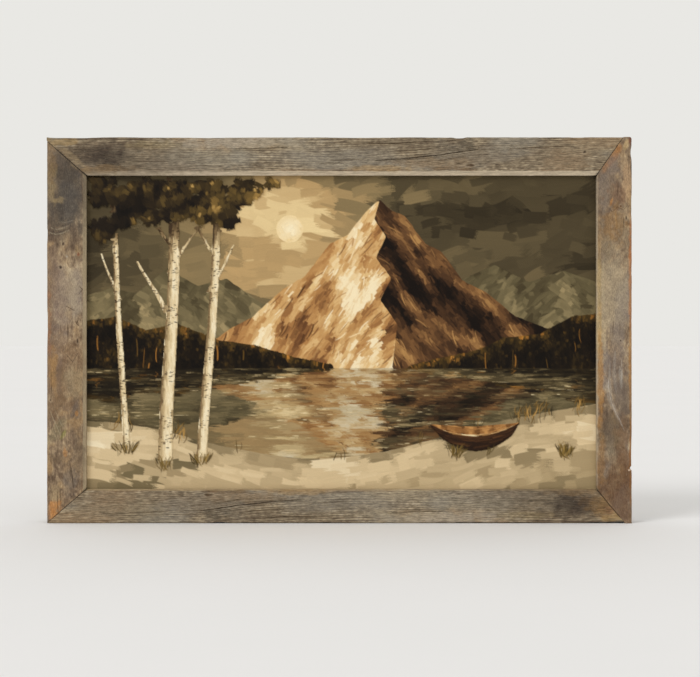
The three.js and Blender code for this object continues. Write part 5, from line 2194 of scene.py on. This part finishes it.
@dataclass(frozen=True)
class PlanedWoodFinish:
    """Clean planed wood: rings, fibres, pores and, in pine, a few knots."""

    name: str
    stops: Stops
    rings: float = 1900.0
    wander: float = 26.0
    knots: float = 0.0
    upright: bool = False
    relief_mm: float = 0.08
    knot_brown: str = "6b3f1d"
    pore_brown: str = "9a7646"
    grime: str = "b59a70"

    def material(self) -> Material:
        """Builds the finish.

        Returns:
            The material.
        """
        g = Graph(self.name)
        at = g.place()
        x, y, z = (g.node("ShaderNodeSeparateXYZ", sockets={"Vector": at}, output=axis) for axis in "XYZ")
        if self.upright:
            at = g.node("ShaderNodeCombineXYZ", sockets={"X": z, "Y": y, "Z": x})
            z = x
        warp = g.noise(at.stretched(1.8, 60, 60), detail=3)
        fibre = g.noise(at.stretched(30, 1700, 1700), detail=3)
        pores = g.noise(at.stretched(170, 3200, 3200), detail=1)
        spots = {"Vector": at.stretched(5.5, 30, 30), "Scale": 1.0}
        cell = g.node("ShaderNodeTexVoronoi", sockets=spots, output="Distance")
        knot = cell.between(0.07, 0.15, self.knots, 0.0)
        swirl = cell.between(0.05, 0.5, self.knots, 0.0)
        ring = ((z + 0.6 * y) * self.rings + warp * self.wander + swirl * 9).sine()
        late = ring.between(0.1, 1.0, 0.0, 0.62) + 0.38 * fibre
        colour = g.node("ShaderNodeValToRGB", {"stops": self.stops}, {"Fac": late})
        colour = g.mix(knot, colour, tint(self.knot_brown))
        colour = g.mix(pores.between(0.62, 0.8, 0.0, 0.3), colour, tint(self.pore_brown))
        colour = g.mix(g.noise(at, 24, detail=4).between(0.5, 0.75, 0.0, 0.25), colour, tint(self.grime))
        rough, normal = 0.55 + 0.2 * fibre, g.bump(fibre + 0.3 * ring, self.relief_mm)
        return g.finish(Base_Color=colour, Roughness=rough, Normal=normal, Specular_IOR_Level=0.3)


@dataclass(frozen=True)
class PlatedSteelFinish:
    """Thin plating on steel: fine scratches, dull patches and specks where it has gone."""

    name: str
    colour: str
    tarnish: str
    base: str = "6f4a32"
    relief_mm: float = 0.06

    def material(self) -> Material:
        """Builds the finish.

        Returns:
            The material.
        """
        g = Graph(self.name)
        at = g.place()
        dull = g.noise(at, 130, detail=5, rough=0.65)
        scratch = g.noise(at.stretched(90, 5200, 5200), detail=2).between(0.6, 0.72)
        speck = g.noise(at, 700, detail=3).between(0.66, 0.76)
        colour = g.mix(dull.between(0.35, 0.7, 0.0, 0.75), tint(self.colour), tint(self.tarnish))
        colour = g.mix(speck * 0.6, colour, tint(self.base))
        rough = 0.26 + 0.34 * dull - 0.08 * scratch + 0.3 * speck
        metal = speck.between(0.0, 1.0, 1.0, 0.5)
        normal = g.bump(dull - 0.3 * scratch, self.relief_mm)
        return g.finish(Base_Color=colour, Roughness=rough, Metallic=metal, Normal=normal)


@dataclass(frozen=True)
class Stretcher:
    """The pine bars that the canvas is stretched on, with two tightening keys in each corner."""

    bar_edge: float = 0.5
    key_edge: float = 0.25
    pine: Stops = ((0, "ead2a0"), (0.35, "e0c188"), (0.7, "cfa566"), (1, "b3803f"))
    beech: Stops = ((0, "e3c7a0"), (0.5, "d6b387"), (1, "b98e5e"))

    def build(self) -> None:
        """Planes the bars and the keys."""
        for side in Side:
            wood = PlanedWoodFinish(f"pine_{side.word}", self.pine, knots=0.9, upright=not side.level)
            softened(f"bar_{side.word}", "planed", wood.material(), self.bar_edge)
        level = PlanedWoodFinish("beech_level", self.beech, rings=3400, wander=12)
        upright = replace(level, name="beech_upright", upright=True)
        woods = level.material(), upright.material()
        for corner in ("top_left", "top_right", "bottom_right", "bottom_left"):
            for i, wood in enumerate(woods, 1):
                softened(f"key_{corner}_{i}", "planed", wood, self.key_edge)


@dataclass
class Cloth:
    """The canvas, stretched over its bars, turned round their edges and stapled behind."""

    steel: Material
    flap: float = 27.0
    thick: float = 0.6
    corner: float = 1.0
    pleat: float = 0.6
    columns: tuple[int, int] = (150, 96)
    fold_staple: Pair = (20.0, 11.0)
    ends: Pair = (52.0, 50.0)
    row: float = 13.0
    spacing: float = 41.0
    clear: float = 7.0

    PRIMED = "dfd9ca"
    RAW = "c3b393"
    SMEAR = "8f7550"

    def __post_init__(self) -> None:
        """Takes the cloth's size from the solid."""
        self.x, self.y, self.z = (LAYOUT.span("canvas", axis) for axis in range(3))
        self.noise = Noise(41)

    def profile(self, offset: float) -> list[Pair]:
        """The way the cloth runs from the flap's raw edge, round its corners, to the front.

        Args:
            offset: How far below the outer side the points lie.

        Returns:
            Inset from the outer edge and depth for each ring of points.
        """
        front, back = self.y
        r, inner = self.corner, self.corner - offset
        arc = [(math.sin(math.radians(turn)), math.cos(math.radians(turn))) for turn in (0, 30, 60, 90)]
        flap = [(inset, back - offset) for inset in np.linspace(self.flap, r, 13)[:-1]]
        hind = [(r - inner * s, back - r + inner * c) for s, c in arc]
        side = [(offset, level) for level in np.linspace(back - r, front + r, 8)[1:-1]]
        fore = [(r - inner * c, front + r - inner * s) for s, c in arc]
        return flap + hind + side + fore

    def ring(self, inset: float) -> tuple[Array, Array]:
        """Points round the rectangle at an inset, with a pair close together at each corner.

        Args:
            inset: How far inside the cloth's outline.

        Returns:
            Their x and z.
        """
        (x0, x1), (z0, z1) = self.x, self.z
        x0, x1, z0, z1 = x0 + inset, x1 - inset, z0 + inset, z1 - inset
        corners = np.array([(x0, z0), (x1, z0), (x1, z1), (x0, z1)])
        points = []
        for i, corner in enumerate(corners):
            run = corners[(i + 1) % 4] - corner
            share = np.linspace(0, 1 - 0.35 / np.abs(run).max(), self.columns[i % 2])[:, None]
            points.append(corner + run * share)
        return np.concatenate(points).T

    def skin(self, offset: float) -> tuple[Array, Array]:
        """One side of the cloth.

        Args:
            offset: How far it lies below the outer side.

        Returns:
            Its points and the corners of its quads.
        """
        wide, tall = self.columns
        rings = []
        for inset, level in self.profile(offset):
            x, z = self.ring(inset)
            raw = 0.25 * self.noise.rough(x / 5, z / 5, 3) * (inset == self.flap)
            x, z = x + np.sign(x - np.mean(self.x)) * raw, z + np.sign(z - np.mean(self.z)) * raw
            rings.append(np.stack([x, level + self.lifted(x, z, inset, level), z], -1))
        last = rings[-1]
        turns = [wide, wide + tall, 2 * wide + tall]
        bottom, right, top, left = np.split(last, turns)
        low, high = np.vstack([bottom, right[:1]]), np.vstack([left[:1], top[::-1]])
        near, far = np.vstack([bottom[:1], left[::-1]]), np.vstack([right, top[:1]])
        up, across = (np.linspace(0, 1, n + 1)[1:-1] for n in (tall, wide))
        x = low[1:-1, 0] + (high[1:-1, 0] - low[1:-1, 0]) * up[:, None]
        z = near[1:-1, 2:] + (far[1:-1, 2:] - near[1:-1, 2:]) * across
        inner = np.stack([x, np.full_like(x, last[0, 1]), z], -1).reshape(-1, 3)
        count = 2 * (wide + tall)
        rim = (len(rings) - 1) * count + np.arange(count)
        index = np.zeros((tall + 1, wide + 1), int)
        sides = index[0, :wide], index[:tall, wide], index[tall, wide:0:-1], index[tall:0:-1, 0]
        for edge, numbers in zip(sides, np.split(rim, turns)):
            edge[:] = numbers
        index[1:-1, 1:-1] = (len(rings) * count + np.arange(len(inner))).reshape(tall - 1, wide - 1)
        band = grid_quads(count, len(rings), closed=True)
        band = (band % len(rings)) * count + band // len(rings)
        face = np.stack([index[:-1, :-1], index[1:, :-1], index[1:, 1:], index[:-1, 1:]], -1).reshape(-1, 4)
        return np.concatenate([*rings, inner]), np.concatenate([band, face])

    def margins(self, x: Array, z: Array) -> tuple[Array, Array]:
        """How far places lie from the nearer upright edge and the nearer level edge."""
        return np.minimum(x - self.x[0], self.x[1] - x), np.minimum(z - self.z[0], self.z[1] - z)

    def lifted(self, x: Array, z: Array, inset: float, level: float) -> Array:
        """How far the flap stands off its bar: the folded corners and the slack between staples.

        Args:
            x: Places across.
            z: Places up.
            inset: Their inset from the outer edge.
            level: Their depth.

        Returns:
            Millimetres backwards.
        """
        if level < self.y[1] - self.corner:
            return 0 * x
        ends, rows = self.margins(x, z)
        folded = self.pleat * (rows <= ends + 1e-6) * ease(self.flap * 1.12, self.flap * 0.96, ends)
        slack = 0.2 * self.noise.rough(x / 24, z / 24, 2).clip(0) * ease(12, self.flap, inset)
        return folded * ease(0.4, 2.0, inset) + slack

    def build(self) -> None:
        outer, quads = self.skin(0.0)
        inner, _ = self.skin(self.thick)
        count, rings = 2 * sum(self.columns), len(outer)
        edge = np.arange(count)
        rim = np.stack([edge, np.roll(edge, -1), np.roll(edge, -1) + rings, edge + rings], -1)
        points = np.concatenate([outer, inner])
        faces = np.concatenate([quads, quads[:, ::-1] + rings, rim])
        a, b, c = (points[quads[:, i]] for i in range(3))
        if np.einsum("ij,ij->", a - points.mean(0), np.cross(b - a, c - a)) < 0:
            faces = faces[:, ::-1]
        piece = Piece("canvas_cloth", points * MM, faces, colours=self.dyed(outer, inner))
        cloth = piece.build(CottonFinish().material(), "canvas_cloth", "canvas", sharp=50)
        pins = self.staples().build(self.steel, "steel")
        turned = self.y[1] - self.y[0] + self.flap
        flat = tuple((high - low + 2 * turned) * MM for low, high in (self.x, self.z))

    def dyed(self, outer: Array, inner: Array) -> Array:
        """The cloth's colours: primed and smeared outside, raw inside, with painted shade in its creases and
        along its folded corners.

        Args:
            outer: The points of its outer side.
            inner: The points of its inner side.

        Returns:
            A colour for each point, the outer side first.
        """
        x, y, z = outer.T
        both = np.concatenate([outer, inner])
        shade = self.noise.rough(both[:, 0] / 70, both[:, 2] / 70, 4)[:, None]
        ends, rows = self.margins(x, z)
        edge = np.minimum(ends, rows)
        primed = tint(self.PRIMED) * (1 + 0.06 * shade[: len(outer)])
        smear = ease(-0.1, 0.5, self.noise.rough(x / 16 + 40, z / 16, 4)) * ease(7.5, 8.6, y)
        near = ease(9, 1, edge + 5 * shade[: len(outer), 0])
        primed = blend(primed, tint(self.SMEAR), 0.55 * smear * near)
        behind = ease(self.y[1] - 0.4, self.y[1], y) * (edge < self.flap)
        # Painted shade on the back: darker along the edge of each folded corner and in its crease.
        folded = 0.6 * bell(ends - self.flap * 1.04, 1.0) * (rows < ends)
        crease_shade = bell(ends - rows, 0.8) + folded
        primed = primed * (1 - 0.4 * (crease_shade * behind)[:, None])
        return np.concatenate([primed, tint(self.RAW) * (1 + 0.1 * shade[len(outer) :])])

    def staple_places(self) -> list[tuple[float, float, float]]:
        """Where staples go: a row along each flap, clear of the clips, and one across each fold.

        Returns:
            x, z and turn for each.
        """
        rng = np.random.default_rng(43)
        clips = [[LAYOUT.span(f"clip_{i}", axis) for axis in (0, 2)] for i in range(1, 7)]
        places, (across, up) = [], self.fold_staple
        for right, high in ((1, 1), (-1, 1), (-1, -1), (1, -1)):
            x, z = self.x[right < 0] + across * right, self.z[high < 0] + up * high
            places.append((x, z, 0.8 * right * high))
        for (low, high), edges, upright in ((self.x, self.z, False), (self.z, self.x, True)):
            for place in np.arange(low + self.ends[0], high - self.ends[1], self.spacing):
                for edge, way in zip(edges, (1, -1)):
                    along, deep = place + rng.uniform(-4, 4), edge + way * (self.row + rng.uniform(-2, 2))
                    x, z = (deep, along) if upright else (along, deep)
                    free = [max(a - x, x - b, c - z, z - d) > self.clear for (a, b), (c, d) in clips]
                    if all(free):
                        places.append((x, z, (math.pi / 2 if upright else 0) + rng.normal(0, 0.1)))
        return places

    def staples(self) -> Piece:
        """Bends every staple from flat wire.

        Returns:
            The staples as one piece.
        """
        legs = ((-5.0, -0.5), (-5.0, 0.2), (-4.75, 0.45)), ((-4.55, -0.5), (-4.55, -0.05), (-4.45, 0.02))
        over, under = ((*leg, *((-u, h) for u, h in reversed(leg))) for leg in legs)
        paths = (over, -0.5), (over, 0.5), (under, 0.5), (under, -0.5)
        across, high, half = np.array([(u, h, half) for path, half in paths for u, h in path]).T
        points, quads, caps = [], [], []
        for number, (x, z, turn) in enumerate(self.staple_places()):
            c, s = math.cos(turn), math.sin(turn)
            crown = self.y[1] + (self.pleat if abs(math.sin(2 * turn)) > 0.9 else 0.0) + high
            points.append(np.stack([x + across * c - half * s, crown, z + across * s + half * c], -1))
            first = number * len(across)
            quads.append(grid_quads(4, 6, closed=True) + first)
            caps += [np.array([0, 6, 12, 18]) + first, np.array([23, 17, 11, 5]) + first]
        return Piece("staples", np.concatenate(points) * MM, np.concatenate(quads), caps)


# ---------------- the fittings


@dataclass(frozen=True)
class RubberFinish:
    """Soft matt rubber with the dust it gathers."""

    name: str = "bumper_rubber"
    black: str = "2a2a28"
    dust: str = "6d6a62"
    relief_mm: float = 0.05

    def material(self) -> Material:
        """Builds the finish.

        Returns:
            The material.
        """
        g = Graph(self.name)
        at = g.place()
        dust = g.noise(at, 260, detail=4)
        colour = g.mix(dust.between(0.5, 0.75, 0.0, 0.45), tint(self.black), tint(self.dust))
        normal = g.bump(g.noise(at, 1500, detail=2), self.relief_mm)
        return g.finish(Base_Color=colour, Roughness=0.7 + 0.2 * dust, Normal=normal)


@dataclass(frozen=True)
class Fittings:
    """Everything fixed behind: clips and their screws, V nails, the toothed hanger and the bumpers.

    Each size is how far a fitting's edges are softened, in millimetres.
    """

    steel: Material
    clip_edge: float = 0.18
    screw_edge: float = 0.1
    v_nail_edge: float = 0.08
    hanger_edge: float = 0.12
    hanger_nail_edge: float = 0.15
    bumper_edge: float = 0.4

    def build(self) -> None:
        """Plates the steel and moulds the rubber."""
        rubber = RubberFinish().material()
        screws = PlatedSteelFinish("screw_plating", "d8cfa8", "a79a72").material()
        brassed = PlatedSteelFinish("brass_plating", "b9a06a", "847250").material()
        for i in range(1, 7):
            softened(f"clip_{i}", "plated", self.steel, self.clip_edge)
            softened(f"screw_{i}", "plated", screws, self.screw_edge)
        for corner in ("topLeft", "topRight", "bottomRight", "bottomLeft"):
            softened(f"v_nail_{corner}", "plated", self.steel, self.v_nail_edge)
        softened("hanger", "plated", brassed, self.hanger_edge)
        for i in (1, 2):
            softened(f"hanger_nail_{i}", "plated", brassed, self.hanger_nail_edge)
        for word in ("left", "right"):
            softened(f"bumper_{word}", "moulded", rubber, self.bumper_edge)


# ---------------- the studio


@dataclass(frozen=True)
class Studio:
    """A pale floor, an even pale surround, one soft light and the camera, in metres."""

    pale: str = "e9e8e4"
    floor_tones: tuple[str, str] = ("ecebec", "e8e8e8")
    floor_reach: float = 40.0
    light_from: tuple[float, float, float] = (0.62, 0.62, -0.66)
    light_strength: float = 0.95
    light_spread: float = 24.0
    light_colour: tuple[float, float, float] = (1.0, 0.99, 0.975)
    distance: float = 1.7
    seen_width: float = 0.728
    aim: Pair = (0.0110, 0.1923)
    sensor: float = 36.0

    def build(self) -> None:
        """Sets the stage round the object."""
        self.surround()
        self.floor()
        self.key()
        self.camera()

    def surround(self) -> None:
        """An even pale world."""
        world = bpy.data.worlds.new("surround")
        world.use_nodes = True
        world.node_tree.nodes["Background"].inputs["Color"].default_value = (*tint(self.pale), 1.0)
        bpy.context.scene.world = world
        bpy.context.scene.view_settings.view_transform = "Standard"

    def floor(self) -> None:
        """A wide matt floor."""
        mesh = bpy.data.meshes.new("floor")
        corners = np.array([(-1, -1, 0), (1, -1, 0), (1, 1, 0), (-1, 1, 0)]) * self.floor_reach
        mesh.from_pydata(corners, [], [(0, 1, 2, 3)])
        g = Graph("pale_floor")
        mottle = g.noise(g.place(), 3.0, detail=5)
        colour = g.mix(mottle, *map(tint, self.floor_tones))
        mesh.materials.append(g.finish(Base_Color=colour, Roughness=0.9, Specular_IOR_Level=0.1))
        self.placed("floor", mesh)

    @staticmethod
    def placed(name: str, data: Any) -> bpy.types.Object:
        """Makes an object of some data and links it to the scene.

        Args:
            name: The object's name.
            data: Its mesh, light or camera.

        Returns:
            The object.
        """
        made = bpy.data.objects.new(name, data)
        bpy.context.scene.collection.objects.link(made)
        return made

    def key(self) -> None:
        """A broad, soft light from the upper left."""
        data = bpy.data.lights.new("key", "SUN")
        data.energy = self.light_strength
        data.angle = math.radians(self.light_spread)
        data.color = self.light_colour
        lamp = self.placed("key", data)
        lamp.rotation_euler = Vector(self.light_from).to_track_quat("-Z", "Y").to_euler()

    def camera(self) -> None:
        """A level camera straight in front."""
        data = bpy.data.cameras.new("camera")
        data.sensor_width = self.sensor
        data.lens = self.sensor * self.distance / self.seen_width
        made = self.placed("camera", data)
        made.location = (self.aim[0], LAYOUT.depth[0] * MM - self.distance, self.aim[1])
        made.rotation_euler = (math.pi / 2, 0, 0)
        bpy.context.scene.camera = made


def main() -> None:
    """Builds the studio and the picture, one sub-assembly after another."""
    logging.basicConfig(level=logging.INFO, format="%(name)s: %(message)s")
    steel = PlatedSteelFinish("zinc_plating", "c9c9c6", "8f908d").material()
    for assembly in (Studio(), BoardFrame(), Painting(), Stretcher(), Cloth(steel), Fittings(steel)):
        LOG.info("building %s", type(assembly).__name__)
        assembly.build()


if __name__ == "__main__":
    main()
